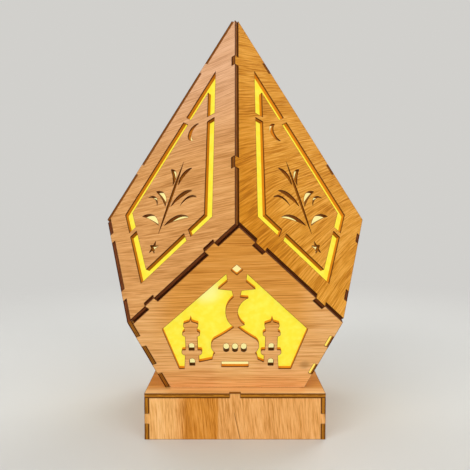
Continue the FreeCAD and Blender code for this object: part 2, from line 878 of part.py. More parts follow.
def top_outline():
    """The top of the box: a square with a notch in the middle of each side."""
    end = "base_width / 2"
    edge = "(room_half - fit)"
    gap = "(base_tab_length / 2 + fit)"
    side = [(end, f"-{gap}"), (edge, f"-{gap}"), (edge, gap), (end, gap), (end, end)]
    path = []
    for turn in range(4):
        for x, y in side:
            path.append([(x, y), (f"-({y})", x), (f"-({x})", f"-({y})"), (y, f"-({x})")][turn])
    return path


def sole_slots():
    """Slots in the top of the box for the tabs of the five-sided panels."""
    outer = "(shield_sole + fit)"
    inner = "(shield_sole - sole_slot - fit)"
    half = "(foot_tab_length / 2 + fit)"
    paths = []
    for centre in ("foot_tab_offset", "-foot_tab_offset"):
        for side in (1, -1):
            near, far = f"{side} * {inner}", f"{side} * {outer}"
            paths.append(rectangle(near, far, f"{centre} - {half}", f"{centre} + {half}"))
            paths.append(rectangle(f"{centre} - {half}", f"{centre} + {half}", near, far))
    return paths


def make_box():
    half = value("base_width / 2")
    front = plate("base_front_panel", wall_outline("0"), "ply")
    front.Placement = facing(-90, half, 0)
    hole_half, hole_rise = "(switch_width / 2 + fit)", "(switch_height / 2 + fit)"
    switch_hole = rectangle(f"-{hole_half}", hole_half,
                            f"switch_level - {hole_rise}", f"switch_level + {hole_rise}")
    back = plate("base_back_panel", wall_outline("back_under"), "ply", [("switch", [switch_hole], [])])
    back.Placement = facing(90, half, 0)
    right = plate("base_right_panel", side_outline(), "ply")
    right.Placement = facing(0, half, 0)
    left = same_plate("base_left_panel", right)
    left.Placement = facing(180, half, 0)

    tenon_half = "(tenon_width / 2 + fit)"
    tenon_hole = rectangle(f"-{tenon_half}", tenon_half, f"-{tenon_half}", tenon_half)
    screw_hole = "screw_radius + fit / 2"
    round_holes = [
        ("-blade_offset", "lead_hole_back", "lead_hole_radius"),
        ("-second_hole_offset", "lead_hole_back", "lead_hole_radius"),
        ("screw_offset", "-holder_shift", screw_hole),
        ("-screw_offset", "-holder_shift", screw_hole),
    ]
    top = plate("base_top_panel", top_outline(), "ply", [
        ("slots", sole_slots(), []),
        ("holes", [tenon_hole], round_holes),
    ])
    top.Placement = Placement(point("0", "0", "base_height"), Rotation())


def make_floor():
    """The sliding floor, with a thumb notch at the back, and the rails it runs between."""
    half = "(room_half - floor_side_gap)"
    front = "-(room_half - floor_side_gap)"
    back = "base_width / 2"
    outline = [
        (f"-{half}", front), (half, front), (half, back),
        ("pull_radius", back, "0", f"{back} - pull_depth"),
        ("-pull_radius", back), (f"-{half}", back),
    ]
    floor = plate("base_floor_door", outline, "ply")
    floor.Placement = Placement(point("0", "0", "floor_top"), Rotation())
    for side, x in (("left", "-room_half"), ("right", "room_half - rail_width")):
        for level, z in (("lower", "rail_lift"), ("upper", "upper_rail_under")):
            label = f"floor_rail_{side}_{level}"
            keep(block(label, "rail_width", "2 * room_half", "ply", (x, "-room_half", z)), label)


# Light post

def make_light():
    half = "-post_width / 2"
    tenon = "-tenon_width / 2"
    keep(joined("led_post", [
        block("post_shaft", "post_width", "post_width", "post_height", (half, half, "base_height")),
        block("post_tenon", "tenon_width", "tenon_width", "ply", (tenon, tenon, "wall_height")),
    ]), "led_post")

    feed = "feed_width / 2"
    hole = "(post_width / 2 + fit)"
    board = plate("led_feed_board", rectangle(f"-{feed}", feed, f"-{feed}", feed), "feed_thickness",
                  [("post_hole", [rectangle(f"-{hole}", hole, f"-{hole}", hole)], [])])
    board.Placement = Placement(point("0", "0", "base_height + feed_thickness"), Rotation())

    chips = []
    resistors = []
    count = int(value("(strip_length - chip_length) / chip_pitch"))
    for name, azimuth in FOUR_SIDES:
        face = facing(azimuth, value("post_width / 2"), value("base_height"))
        strip = keep(block(f"led_strip_{name}", "strip_width", "strip_length", "strip_thickness"),
                     f"led_strip_{name}")
        strip.Placement = shifted(face, "-strip_width / 2", "strip_lift", "0")
        for i in range(count):
            chip = block(f"chip_{name}_{i}", "chip_width", "chip_length", "chip_thickness")
            rise = f"strip_lift + chip_pitch / 2 + {i} * chip_pitch - chip_length / 2"
            chip.Placement = shifted(face, "-chip_width / 2", rise, "strip_thickness")
            chips.append(chip)
        resistor = block(f"resistor_{name}", "resistor_length", "resistor_thickness", "resistor_width")
        resistor.Placement = shifted(face, "-resistor_length / 2", "feed_thickness",
                                     "resistor_reach - post_width / 2 - resistor_width / 2")
        resistors.append(resistor)
    group("led_chips", chips)
    group("feed_resistors", resistors)


# Cells and their holder: the holder hangs open side down under the top of the box

def make_cells():
    middle = "-holder_shift"
    holder = cut_from("battery_holder", block(
        "holder_blank", "2 * holder_half", "2 * (bay_half + holder_wall)", "holder_depth",
        ("-holder_half", f"{middle} - bay_half - holder_wall", "wall_height - holder_depth")), [
        block("holder_bay", "holder_inside", "2 * bay_half", "holder_depth",
              ("-holder_inside / 2", f"{middle} - bay_half", "wall_height - holder_depth - holder_floor")),
        *[rod(f"holder_hole_{i}", "screw_radius + fit", "holder_floor",
              (f"{side} * screw_offset", middle, "wall_height - holder_floor"), Vector(0, 0, 1))
          for i, side in enumerate((1, -1))],
        *[rod(f"holder_counterbore_{i}", "screw_head_radius + fit", "screw_head_thickness",
              (f"{side} * screw_offset", middle, "wall_height - holder_floor"), Vector(0, 0, 1))
          for i, side in enumerate((1, -1))],
    ])
    keep(holder, "battery_holder")

    springs = []
    contacts = []
    for i in range(CELLS):
        side = 1 if i % 2 == 0 else -1
        along = Vector(side, 0, 0)
        y = f"{middle} - bay_half + {i + 0.5} * cell_pitch"
        spring_wall = f"{-side} * holder_inside / 2"
        plus_wall = f"{side} * holder_inside / 2"
        spring_foot = f"{spring_wall} + {side} * contact_thickness"
        cell_foot = f"{spring_foot} + {side} * spring_length"
        label = f"battery_cell_{i + 1}"
        keep(joined(label, [
            rod(f"cell_can_{i}", "cell_radius", "cell_length", (cell_foot, y, "cell_level"), along),
            rod(f"cell_nub_{i}", "nub_radius", "nub_length",
                (f"{cell_foot} + {side} * cell_length", y, "cell_level"), along),
        ]), label)
        spring = doc.addObject("Part::Cone", f"spring_{i}")
        bind(spring, Radius1="spring_radius", Radius2="spring_tip_radius", Height="spring_length")
        spring.Placement = Placement(point(spring_foot, y, "cell_level"), Rotation(Vector(0, 0, 1), along))
        springs.append(spring)
        for end, wall in (("minus", spring_wall), ("plus", plus_wall)):
            outward = -side if end == "minus" else side
            corner = f"{wall} - contact_thickness" if outward > 0 else wall
            contacts.append(block(f"contact_{end}_{i}", "contact_thickness", "contact_width", "contact_width",
                                  (corner, f"{y} - contact_width / 2", "cell_level - contact_width / 2")))
    group("battery_springs", springs)
    group("battery_contacts", contacts)

    screws = []
    for i, side in enumerate((1, -1)):
        x = f"{side} * screw_offset"
        screws.append(joined(f"holder_screw_{i}", [
            rod(f"screw_head_{i}", "screw_head_radius", "screw_head_thickness",
                (x, middle, "wall_height - holder_floor"), Vector(0, 0, 1)),
            rod(f"screw_shank_{i}", "screw_radius", "holder_floor - screw_head_thickness + screw_bite",
                (x, middle, "wall_height - holder_floor + screw_head_thickness"), Vector(0, 0, 1)),
        ]))
    group("holder_screws", screws)


# Rocker switch: it is clipped into the back wall, and the rocker turns about an upright pivot

def make_switch():
    wall = "base_width / 2"
    under = "switch_level - switch_height / 2"
    cavity_floor = f"({wall} - switch_depth + switch_floor)"
    housing = cut_from("switch_housing", joined("housing_blank", [
        block("housing_can", "switch_width", "switch_depth + bezel_thickness", "switch_height",
              ("-switch_width / 2", f"{wall} - switch_depth", under)),
        block("housing_bezel", "switch_width + 2 * bezel_rim", "bezel_thickness",
              "switch_height + 2 * bezel_rim",
              ("-switch_width / 2 - bezel_rim", wall, f"{under} - bezel_rim")),
    ]), [
        block("rocker_room_cut", "2 * rocker_room", f"{wall} + bezel_thickness - {cavity_floor}",
              "2 * rocker_room_half", ("-rocker_room", cavity_floor, "switch_level - rocker_room_half")),
        rod("pivot_hole", "pivot_radius + pivot_play", "2 * (pivot_half + fit)",
            ("0", "pivot_back", "switch_level - pivot_half - fit"), Vector(0, 0, 1)),
        *[block(f"blade_slot_{i}", "blade_thickness + 2 * fit", "switch_floor", "blade_width + 2 * fit",
                (f"{side} * blade_offset - blade_thickness / 2 - fit", f"{wall} - switch_depth",
                 "switch_level - blade_width / 2 - fit"))
          for i, side in enumerate((1, -1))],
    ])
    keep(housing, "switch_housing")

    reach = "rocker_reach"
    corner = (f"{reach} * cos(rocker_corner_turn * 1 deg)", f"{reach} * sin(rocker_corner_turn * 1 deg)")
    heel = (f"{reach} * cos(rocker_heel_turn * 1 deg)", f"-{reach} * sin(rocker_heel_turn * 1 deg)")
    profile = [
        ("-rocker_foot_half", "-rocker_foot_drop"),
        ("rocker_foot_half", "-rocker_foot_drop"),
        (*heel, reach, "0"),
        corner,
        ("0", "rocker_dip"),
        (f"-({corner[0]})", corner[1], f"-{reach}", "0"),
        (f"-({heel[0]})", heel[1]),
    ]
    rocker = keep(doc.addObject("PartDesign::Body", "switch_rocker"), "switch_rocker")
    pivot = [("0", "0", "pivot_radius")]
    for name, paths, circles, half in (("cap", [profile], [], "rocker_half"),
                                       ("pivot", [], pivot, "pivot_half")):
        pad = rocker.newObject("PartDesign::Pad", f"rocker_{name}")
        pad.Profile = draw(rocker, f"rocker_{name}_lines", paths, circles)
        pad.Midplane = True
        bind(pad, Length=f"2 * {half}")
        doc.recompute()
    rocker.Placement = Placement(point("0", "pivot_back", "switch_level"),
                                 Rotation(Vector(0, 0, 1), -value("rocker_tilt")))

    group("switch_terminals", [
        block(f"blade_{i}", "blade_thickness", "blade_length", "blade_width",
              (f"{side} * blade_offset - blade_thickness / 2",
               f"{cavity_floor} + blade_inside - blade_length", "switch_level - blade_width / 2"))
        for i, side in enumerate((1, -1))])


# Leads: straight runs joined by tangent arcs

def lead(label, places):
    stops = [point(*place) for place in places]
    edges = []
    start = stops[0]
    radii = []
    for before, corner, after in zip(stops, stops[1:], stops[2:]):
        back, on = before - corner, after - corner
        turn = math.pi - back.getAngle(on)
        run = LEAD_BEND * min(back.Length, on.Length)
        radius = run / math.tan(turn / 2)
        radii.append(radius)
        back.normalize()
        on.normalize()
        begin, end = corner + back * run, corner + on * run
        inside = back + on
        inside.normalize()
        via = corner + inside * (radius / math.cos(turn / 2) - radius)
        edges.append(Part.LineSegment(start, begin).toShape())
        edges.append(Part.Arc(begin, via, end).toShape())
        start = end
    edges.append(Part.LineSegment(start, stops[-1]).toShape())
    path = Part.Wire(edges)
    section = Part.Wire([Part.Circle(stops[0], stops[1] - stops[0], value("lead_radius")).toShape()])
    tube = path.makePipeShell([section], True, False)
    ideal = path.Length * math.pi * value("lead_radius") ** 2
    print(label, "radii", [round(r, 1) for r in radii], "volume share", round(tube.Volume / ideal, 4))
    wire = doc.addObject("Part::Feature", label)
    wire.Shape = tube
    return keep(wire, label)


def make_leads():
    blade_tip = "base_width / 2 - switch_depth + switch_floor + blade_inside - blade_length"
    hole = "lead_hole_back"
    holder_back = "-holder_shift + bay_half + holder_wall"
    lead("lead_switch_to_board", [
        ("-blade_offset", blade_tip, "switch_level"),
        ("-blade_offset", hole, "switch_level"),
        ("-blade_offset", hole, "base_height"),
    ])
    lead("lead_cells_to_switch", [
        ("lug_offset", holder_back, "switch_level"),
        ("lug_offset", f"({holder_back}) / 2 + ({blade_tip}) / 2 - blade_length / 2", "switch_level"),
        ("blade_offset", f"({holder_back}) / 2 + ({blade_tip}) / 2 + blade_length / 2", "switch_level"),
        ("blade_offset", blade_tip, "switch_level"),
    ])
    lead("lead_board_to_cells", [
        ("-lug_offset", holder_back, "lug_level"),
        ("-lug_offset", hole, "lug_level"),
        ("-second_hole_offset", hole, "lug_level"),
        ("-second_hole_offset", hole, "base_height"),
    ])


def check():
    doc.recompute()
    for thing in doc.Objects:
        if "Invalid" in thing.State or "Error" in thing.State:
            raise RuntimeError(f"{thing.Label} failed: {thing.State}")
    for thing in nodes:
        if thing.Shape.isNull() or not thing.Shape.isValid():
            raise RuntimeError(f"{thing.Label} has no valid shape")


def write():
    os.makedirs("parts", exist_ok=True)
    for thing in nodes:
        thing.Shape.exportStep(f"parts/{thing.Label}.step")


make_kite_panels()
make_shield_panels()
make_box()
make_floor()
make_light()
make_cells()
make_switch()
make_leads()
check()
write()
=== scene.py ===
import math
from dataclasses import dataclass
from functools import reduce
from typing import Callable

import bmesh
import bpy
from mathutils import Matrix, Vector


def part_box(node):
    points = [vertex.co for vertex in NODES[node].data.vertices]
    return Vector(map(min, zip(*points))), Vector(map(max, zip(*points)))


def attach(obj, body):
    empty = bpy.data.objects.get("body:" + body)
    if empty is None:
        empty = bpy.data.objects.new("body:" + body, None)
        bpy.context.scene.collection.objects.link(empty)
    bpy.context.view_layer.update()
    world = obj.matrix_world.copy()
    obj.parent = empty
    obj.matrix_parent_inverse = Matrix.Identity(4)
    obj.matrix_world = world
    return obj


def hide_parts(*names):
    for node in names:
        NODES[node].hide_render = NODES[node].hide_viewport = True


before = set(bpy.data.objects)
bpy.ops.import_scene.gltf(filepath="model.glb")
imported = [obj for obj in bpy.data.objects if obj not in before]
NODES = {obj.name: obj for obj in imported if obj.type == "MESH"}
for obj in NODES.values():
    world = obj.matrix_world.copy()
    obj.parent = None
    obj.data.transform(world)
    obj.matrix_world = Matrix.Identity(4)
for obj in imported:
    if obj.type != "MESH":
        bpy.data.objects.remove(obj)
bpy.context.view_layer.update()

SIDES = ("front", "right", "back", "left")
MM = 0.001
UP = Vector((0.0, 0.0, 1.0))
EAST = Vector((1.0, 0.0, 0.0))
NORTH = Vector((0.0, 1.0, 0.0))

# The named numbers below are read like this. The two numbers of a mask say where it starts and where it is
# complete, and two more are its values there. The two numbers of a texture are its scale per metre and its
# detail, and those of a relief are its depth and its strength. Colours are linear. Lengths on a material are
# in millimetres, and the scene's own lengths are in metres.
BLACK = (0.0, 0.0, 0.0)
WHITE = (1.0, 1.0, 1.0)

# A material's nodes, with the numbers of a mix node's colour sockets
MIX_FIRST = 6
MIX_SECOND = 7
MIX_RESULT = 2
RIM_WIDTH = 0.55 * MM
RIM_SAMPLES = 8
RIM_MASK = (0.97, 0.60)


class Shade:
    """A material's node tree, with a short call for each node used here.

    A value that is given to a call is a socket or a constant."""

    def __init__(self, name):
        self.material = bpy.data.materials.new(name)
        self.material.use_nodes = True
        self.tree = self.material.node_tree
        self.tree.nodes.clear()
        self.surface = self.make("BsdfPrincipled")
        self.make("OutputMaterial", {"Surface": self.surface.outputs["BSDF"]})
        self.place = self.make("TexCoord").outputs["Object"]
        self.normal = self.make("NewGeometry").outputs["True Normal"]

    def make(self, kind, inputs=None, **settings):
        """A new node with its settings and its inputs, which are given by name or number."""
        node = self.tree.nodes.new(f"ShaderNode{kind}")
        for name, value in settings.items():
            setattr(node, name, value)
        for key, value in (inputs or {}).items():
            self.put(node.inputs[key], value)
        return node

    def put(self, socket, value):
        """Links a socket to a value's socket, or sets it to a constant."""
        if isinstance(value, bpy.types.NodeSocket):
            self.tree.links.new(value, socket)
        elif socket.type == "RGBA":
            socket.default_value = (*value, 1.0)
        else:
            socket.default_value = value

    def set(self, **values):
        """Sets inputs of the surface, whose names have _ for a space."""
        for name, value in values.items():
            self.put(self.surface.inputs[name.replace("_", " ")], value)

    def calculate(self, operation, first, second=0.0):
        return self.make("Math", {0: first, 1: second}, operation=operation).outputs[0]

    def add(self, first, second):
        return self.calculate("ADD", first, second)

    def less(self, first, second):
        return self.calculate("SUBTRACT", first, second)

    def times(self, first, second):
        return self.calculate("MULTIPLY", first, second)

    def least(self, first, second):
        return self.calculate("MINIMUM", first, second)

    def most(self, first, second):
        return self.calculate("MAXIMUM", first, second)

    def size(self, value):
        return self.calculate("ABSOLUTE", value)

    def reach(self, x, y):
        """How far a point lies from the place that x and y are measured from."""
        return self.calculate("SQRT", self.add(self.times(x, x), self.times(y, y)))

    def wave(self, value, pitch):
        """A sine that comes back after each pitch."""
        return self.calculate("SINE", self.times(value, math.tau / pitch))

    def step(self, value, low, high, start=0.0, end=1.0):
        """Goes smoothly from start to end as the value goes from low to high."""
        inputs = {"Value": value, "From Min": low, "From Max": high, "To Min": start, "To Max": end}
        return self.make("MapRange", inputs, interpolation_type="SMOOTHSTEP").outputs["Result"]

    def dot(self, vector, axis):
        inputs = {0: vector, 1: tuple(axis)}
        return self.make("VectorMath", inputs, operation="DOT_PRODUCT").outputs["Value"]

    def along(self, axis, start=0.0):
        """How far a point lies along an axis past start, in millimetres."""
        return self.less(self.dot(self.place, axis / MM), start / MM)

    def facing(self, axis):
        """The cosine of the angle between the surface's normal and an axis."""
        return self.dot(self.normal, axis)

    def rim(self):
        """1 along the surface's sharp edges and 0 further in than the rim's width."""
        settings = {"inside": True, "only_local": True, "samples": RIM_SAMPLES}
        node = self.make("AmbientOcclusion", {"Distance": RIM_WIDTH}, **settings)
        return self.step(node.outputs["AO"], *RIM_MASK)

    def vector(self, x, y, z=0.0):
        return self.make("CombineXYZ", {0: x, 1: y, 2: z}).outputs[0]

    def noise(self, place, scale=1.0, detail=2.0, roughness=0.5):
        inputs = {"Vector": place, "Scale": scale, "Detail": detail, "Roughness": roughness}
        return self.make("TexNoise", inputs).outputs["Fac"]

    def mix(self, share, first, second):
        """The first colour, with a share of the second."""
        inputs = {"Factor": share, MIX_FIRST: first, MIX_SECOND: second}
        return self.make("Mix", inputs, data_type="RGBA").outputs[MIX_RESULT]

    def ramp(self, value, stops, tones):
        """A row of tones, each at its stop along the value."""
        node = self.make("ValToRGB", {"Fac": value})
        elements = node.color_ramp.elements
        while len(elements) < len(tones):
            elements.new(stops[len(elements) - 1])
        for element, stop, tone in zip(elements, stops, tones):
            element.position = stop
            element.color = (*tone, 1.0)
        return node.outputs["Color"]

    def bump(self, height, depth, strength):
        inputs = {"Height": height, "Distance": depth, "Strength": strength}
        self.set(Normal=self.make("Bump", inputs).outputs["Normal"])

    def wear(self, name):
        """Puts the material on a CAD node."""
        slots = NODES[name].data.materials
        slots.clear()
        slots.append(self.material)


# A panel's own axes
FLAT_LEAN = 0.1
FACE_DEPTH = 0.1 * MM
POINT_DIGITS = 6
LONG_EDGE = 22 * MM


def turn(first, second, third):
    """Positive where a way through three flat points turns left."""
    return ((second[0] - first[0]) * (third[1] - first[1])
            - (second[1] - first[1]) * (third[0] - first[0]))


def half_hull(points):
    """One side of the outline round a sorted list of points, without its last point."""
    hull = []
    for point in points:
        while len(hull) > 1 and turn(hull[-2], hull[-1], point) <= 0:
            hull.pop()
        hull.append(point)
    return hull[:-1]


class Plane:
    """A flat panel's own axes, read from its mesh: right, up and out, and where its outer face lies.

    A panel faces away from the lamp's axis, unless outwards says which way."""

    def __init__(self, name, outwards=None):
        mesh = NODES[name].data
        low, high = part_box(name)
        self.middle = (Vector(low) + Vector(high)) / 2
        away = outwards or Vector((self.middle.x, self.middle.y, 0.0))
        self.out = max(mesh.polygons, key=lambda polygon: polygon.area).normal.copy()
        if self.out.dot(away) < 0:
            self.out.negate()
        side = UP.cross(self.out)
        self.right = side.normalized() if side.length > FLAT_LEAN else EAST
        self.up = self.out.cross(self.right)
        self.face = max(vertex.co.dot(self.out) for vertex in mesh.vertices)
        self.edges = self.find_edges(mesh)

    def find_edges(self, mesh):
        """The long edges of the outline, each as an inward axis and where along it the edge lies."""
        flat = sorted({
            (round(vertex.co.dot(self.right), POINT_DIGITS), round(vertex.co.dot(self.up), POINT_DIGITS))
            for vertex in mesh.vertices
            if self.face - vertex.co.dot(self.out) < FACE_DEPTH
        })
        hull = half_hull(flat) + half_hull(flat[::-1])
        edges = []
        for start, end in zip(hull, hull[1:] + hull[:1]):
            run = Vector(end) - Vector(start)
            if run.length > LONG_EDGE:
                inwards = (self.right * -run.y + self.up * run.x) / run.length
                edges.append((inwards, (self.right * start[0] + self.up * start[1]).dot(inwards)))
        return edges

    def aside(self, shade):
        """How far right of the lamp's axis a point lies."""
        return shade.along(self.right)

    def rise(self, shade):
        """How far a point lies up the panel from its middle."""
        return shade.along(self.up, self.middle.dot(self.up))

    def depth(self, shade):
        """How far a point lies below the outer face."""
        return shade.less(self.face / MM, shade.along(self.out))

    def inset(self, shade):
        """How far a point lies inside the outline."""
        return reduce(shade.least, [shade.along(inwards, start) for inwards, start in self.edges])


# Round spots on a panel, with the share of their radius where they are complete
SPOT_HEART = 0.2


def spot(shade, plane, aside, rise, radius):
    """1 at the heart of a round spot on a panel and 0 past its radius."""
    reach = shade.reach(shade.less(plane.aside(shade), aside), shade.less(plane.rise(shade), rise))
    return shade.step(reach, radius, SPOT_HEART * radius)


# Veneer tones, from dark to light
PINK_TAN = ((0.43, 0.180, 0.044), (0.61, 0.288, 0.090), (0.72, 0.375, 0.140))
ROSY = ((0.51, 0.255, 0.122), (0.67, 0.365, 0.195), (0.76, 0.440, 0.260))
GOLDEN = ((0.43, 0.145, 0.006), (0.65, 0.275, 0.026), (0.77, 0.365, 0.062))
OCHRE = ((0.37, 0.115, 0.003), (0.57, 0.210, 0.009), (0.68, 0.285, 0.026))
AMBER = ((0.37, 0.115, 0.008), (0.57, 0.215, 0.022), (0.68, 0.290, 0.052))
HONEY = ((0.46, 0.175, 0.026), (0.70, 0.315, 0.066), (0.79, 0.395, 0.110))
STRAW = ((0.50, 0.210, 0.045), (0.72, 0.350, 0.108), (0.80, 0.425, 0.160))
SAND = ((0.56, 0.255, 0.070), (0.77, 0.405, 0.145), (0.84, 0.480, 0.205))
BLOND = ((0.66, 0.330, 0.095), (0.85, 0.490, 0.180), (0.89, 0.560, 0.250))
PINE = ((0.52, 0.31, 0.13), (0.68, 0.46, 0.23), (0.76, 0.55, 0.31))

# Veneer grain, whose layers have a scale along it and across it, a shift of the seed and a detail
DRIFT_LAYER = (0.009, 0.016, 0.0, 1.0)
BAND_LAYER = (0.008, 0.11, 3.0, 3.0)
LINE_LAYER = (0.040, 1.00, 7.0, 3.0)
HAIR_LAYER = (0.060, 2.2, 11.0, 1.0)
LAYER_ROUGHNESS = 0.6
BAND_SHARE = 0.36
TONE_MIDDLE = 0.5
TONE_SPREAD = 0.10
PORE_MASK = (0.55, 0.67)
PORE_SHARE = 0.5


@dataclass
class Veneer:
    """How a veneer looks: its tones, the grain's slope in degrees, its seed and how it is drawn.

    length stretches the grain, drift lets it wander by so many millimetres, and bow is how much flatter it
    lies with each millimetre up the panel. A dress changes the veneer's colour from place to place."""

    tones: tuple
    slope: float
    seed: float
    length: float = 1.0
    drift: float = 8.0
    bow: float = 0.0
    contrast: float = 1.0
    dress: Callable = None


def grain(shade, plane, veneer):
    """The colour and the height of a veneer's grain on a panel."""
    angle = math.radians(veneer.slope)
    length = plane.right * math.cos(angle) + plane.up * math.sin(angle)
    along = shade.times(shade.along(length), 1 / veneer.length)
    across = shade.along(plane.out.cross(length))

    def layer(across, long, short, shift, detail):
        place = shade.vector(shade.times(along, long), shade.times(across, short), veneer.seed + shift)
        return shade.noise(place, detail=detail, roughness=LAYER_ROUGHNESS)

    across = shade.add(across, shade.times(layer(across, *DRIFT_LAYER), veneer.drift))
    if veneer.bow:
        bowed = shade.times(plane.aside(shade), plane.rise(shade))
        across = shade.add(across, shade.times(bowed, veneer.bow))
    bands = layer(across, *BAND_LAYER)
    lines = layer(across, *LINE_LAYER)
    pores = shade.step(layer(across, *HAIR_LAYER), *PORE_MASK)
    figure = shade.add(shade.times(bands, BAND_SHARE), shade.times(lines, 1 - BAND_SHARE))
    spread = TONE_SPREAD / veneer.contrast
    stops = (TONE_MIDDLE - spread, TONE_MIDDLE, TONE_MIDDLE + spread)

    def toned(tones):
        return shade.ramp(figure, stops, tones)

    colour = toned(veneer.tones)
    if veneer.dress:
        colour = veneer.dress(shade, plane, colour, toned)
    colour = shade.mix(shade.times(pores, PORE_SHARE * veneer.contrast), colour, veneer.tones[0])
    return colour, shade.less(lines, pores)


# Dresses of the kites, whose masks lie up or across the panel
ROSY_RISE = (-10.0, 85.0)
RIDGE_ASIDE = (-6.95, -50.95)


def rosy_top(shade, plane, colour, toned):
    """A pink kite turns rosier and paler towards its tip."""
    return shade.mix(shade.step(plane.rise(shade), *ROSY_RISE), colour, toned(ROSY))


def ochre_ridge(shade, plane, colour, toned):
    """A golden kite is browner along the ridge on its left."""
    return shade.mix(shade.step(plane.aside(shade), *RIDGE_ASIDE), colour, toned(OCHRE))


# Dresses of the lower panels
BROW_RISE = (0.0, 52.0, 0.0, 0.5)
# Painted light at the lower panels' foot
LIT_FOOT_RISE = (2.0, -26.0)
ARM_ASIDE = (36.0, 58.0)
DOME_ASIDE = (18.0, 10.0)
DOME_RISE = (-8.0, -18.0, 0.0, 0.5)
KNOT = (0.260, 0.120, 0.035)
KNOT_SHARE = 0.5


def amber_brow_lit_foot(knot=None):
    """A dress: browner at the top, painted light at the foot, paler at the sides and dome, with a knot where
    one is given.
    """
    def dress(shade, plane, colour, toned):
        rise = plane.rise(shade)
        aside = shade.size(plane.aside(shade))
        colour = shade.mix(shade.step(rise, *BROW_RISE), colour, toned(AMBER))
        # Painted light at the foot, where the box's top lights the panel; the sides are paler as well
        pale = shade.most(shade.step(rise, *LIT_FOOT_RISE), shade.step(aside, *ARM_ASIDE))
        colour = shade.mix(pale, colour, toned(SAND))
        dome = shade.times(shade.step(aside, *DOME_ASIDE), shade.step(rise, *DOME_RISE))
        colour = shade.mix(dome, colour, toned(BLOND))
        if knot:
            colour = shade.mix(shade.times(spot(shade, plane, *knot), KNOT_SHARE), colour, KNOT)
        return colour
    return dress


# Dresses of the box's walls and top
STAVE_WANDER = (0.05, 0.3)
STAVE_SEED = 5.0
STAVE_SWAY = 4.0
STAVE_FADE = 4.0
STAVE_BORDER = 0.8
STAVE_SHARE = 0.9
PALE_FADE = 9.0
PALE_SHARE = 0.5
CRACK_SLOPE = 0.22
CRACK_LINE = (0.45, 0.10)
CRACK_RISE = (4.0, 1.0)
CRACK_SHARE = 0.6
# Painted shade along the left and right sides of the box's top
SIDE_SHADE_ASIDE = (42.0, 48.0)
SIDE_SHADE_RISE = (57.0, 44.0, 0.0, 0.85)


def staves(start, end, cracked=False):
    """A dress: a warm stave from start to end, a pale one left of it and maybe a hair crack."""
    def dress(shade, plane, colour, toned):
        aside = plane.aside(shade)
        rise = plane.rise(shade)
        upwards, sideways = STAVE_WANDER
        place = shade.vector(shade.times(rise, upwards), shade.times(aside, sideways), STAVE_SEED)
        swayed = shade.add(aside, shade.times(shade.noise(place), STAVE_SWAY))
        warm = shade.times(shade.step(swayed, start - STAVE_FADE, start + STAVE_FADE),
                           shade.step(swayed, end + STAVE_BORDER, end - STAVE_BORDER))
        colour = shade.mix(shade.times(warm, STAVE_SHARE), colour, toned(AMBER))
        pale = shade.step(swayed, start, start - PALE_FADE, 0.0, PALE_SHARE)
        colour = shade.mix(pale, colour, toned(BLOND))
        if cracked:
            line = shade.size(shade.add(aside, shade.times(rise, CRACK_SLOPE)))
            crack = shade.times(shade.step(line, *CRACK_LINE), shade.step(rise, *CRACK_RISE))
            colour = shade.mix(shade.times(crack, CRACK_SHARE), colour, BURNT)
        return colour
    return dress


def shaded_sides(shade, plane, colour, toned):
    """Painted shade: the top of the box is browner along its left and right sides, under the overhanging
    panels.
    """
    side_shade = shade.times(shade.step(shade.size(plane.aside(shade)), *SIDE_SHADE_ASIDE),
                      shade.step(shade.size(plane.rise(shade)), *SIDE_SHADE_RISE))
    return shade.mix(side_shade, colour, toned(OCHRE))


# Masks of the windows
ISLAND_INSET = (26.0, 27.0)
CRESCENT_FOOT = (20.0, 16.0)
DOME_HALF = (11.0, 10.0)
DOME_TOP = (-18.0, -19.0)
ABOVE_SLIT = (-33.0, -32.0)
BELOW_DOME = (-32.0, -33.0)
MINARETS = (-28.5, 23.8)
MINARET_HALF = (3.8, 3.0)
DIAMOND_FOOT = (30.0, 31.0)


def island(shade, plane):
    """1 inside an upper panel's slots, where its ornaments are cut."""
    return shade.step(plane.inset(shade), *ISLAND_INSET)


def ornaments(shade, plane):
    """1 inside an upper panel's slots below its crescent, where the cuts are narrow."""
    return shade.times(island(shade, plane), shade.step(plane.rise(shade), *CRESCENT_FOOT))


def dark_windows(shade, plane):
    """1 round the small windows of a lower panel's dome and minarets, whose edges get little light."""
    aside = plane.aside(shade)
    rise = plane.rise(shade)
    small = shade.times(shade.step(shade.size(aside), *DOME_HALF), shade.step(rise, *ABOVE_SLIT))
    for minaret in MINARETS:
        pillar = shade.step(shade.size(shade.less(aside, minaret)), *MINARET_HALF)
        small = shade.most(small, pillar)
    return shade.times(small, shade.step(rise, *DOME_TOP))


def pale_windows(shade, plane):
    """1 behind a lower panel's small windows: those of the dome and minarets, the slit and the diamond."""
    rise = plane.rise(shade)
    slit = shade.times(shade.step(shade.size(plane.aside(shade)), *DOME_HALF), shade.step(rise, *BELOW_DOME))
    diamond = shade.step(rise, *DIAMOND_FOOT)
    return shade.most(dark_windows(shade, plane), shade.most(slit, diamond))


# Laser-cut plywood, whose depth masks lie below the outer face and whose face masks are cosines
BURNT = (0.080, 0.020, 0.003)
# Painted shade: the colour that the small windows' edges are darkened towards
PAINTED_EDGE_SHADE = (0.010, 0.003, 0.001)
# Painted shade on the burnt edges along a belt, where the upper and lower panels meet, with a paler core
SHADED_BELT_EDGE = (0.060, 0.013, 0.004)
SHADED_BELT_CORE = (0.300, 0.085, 0.020)
KITE_CORE = (0.340, 0.112, 0.009)
LOWER_CORE = (0.470, 0.180, 0.018)
BOX_CORE = (0.680, 0.275, 0.022)
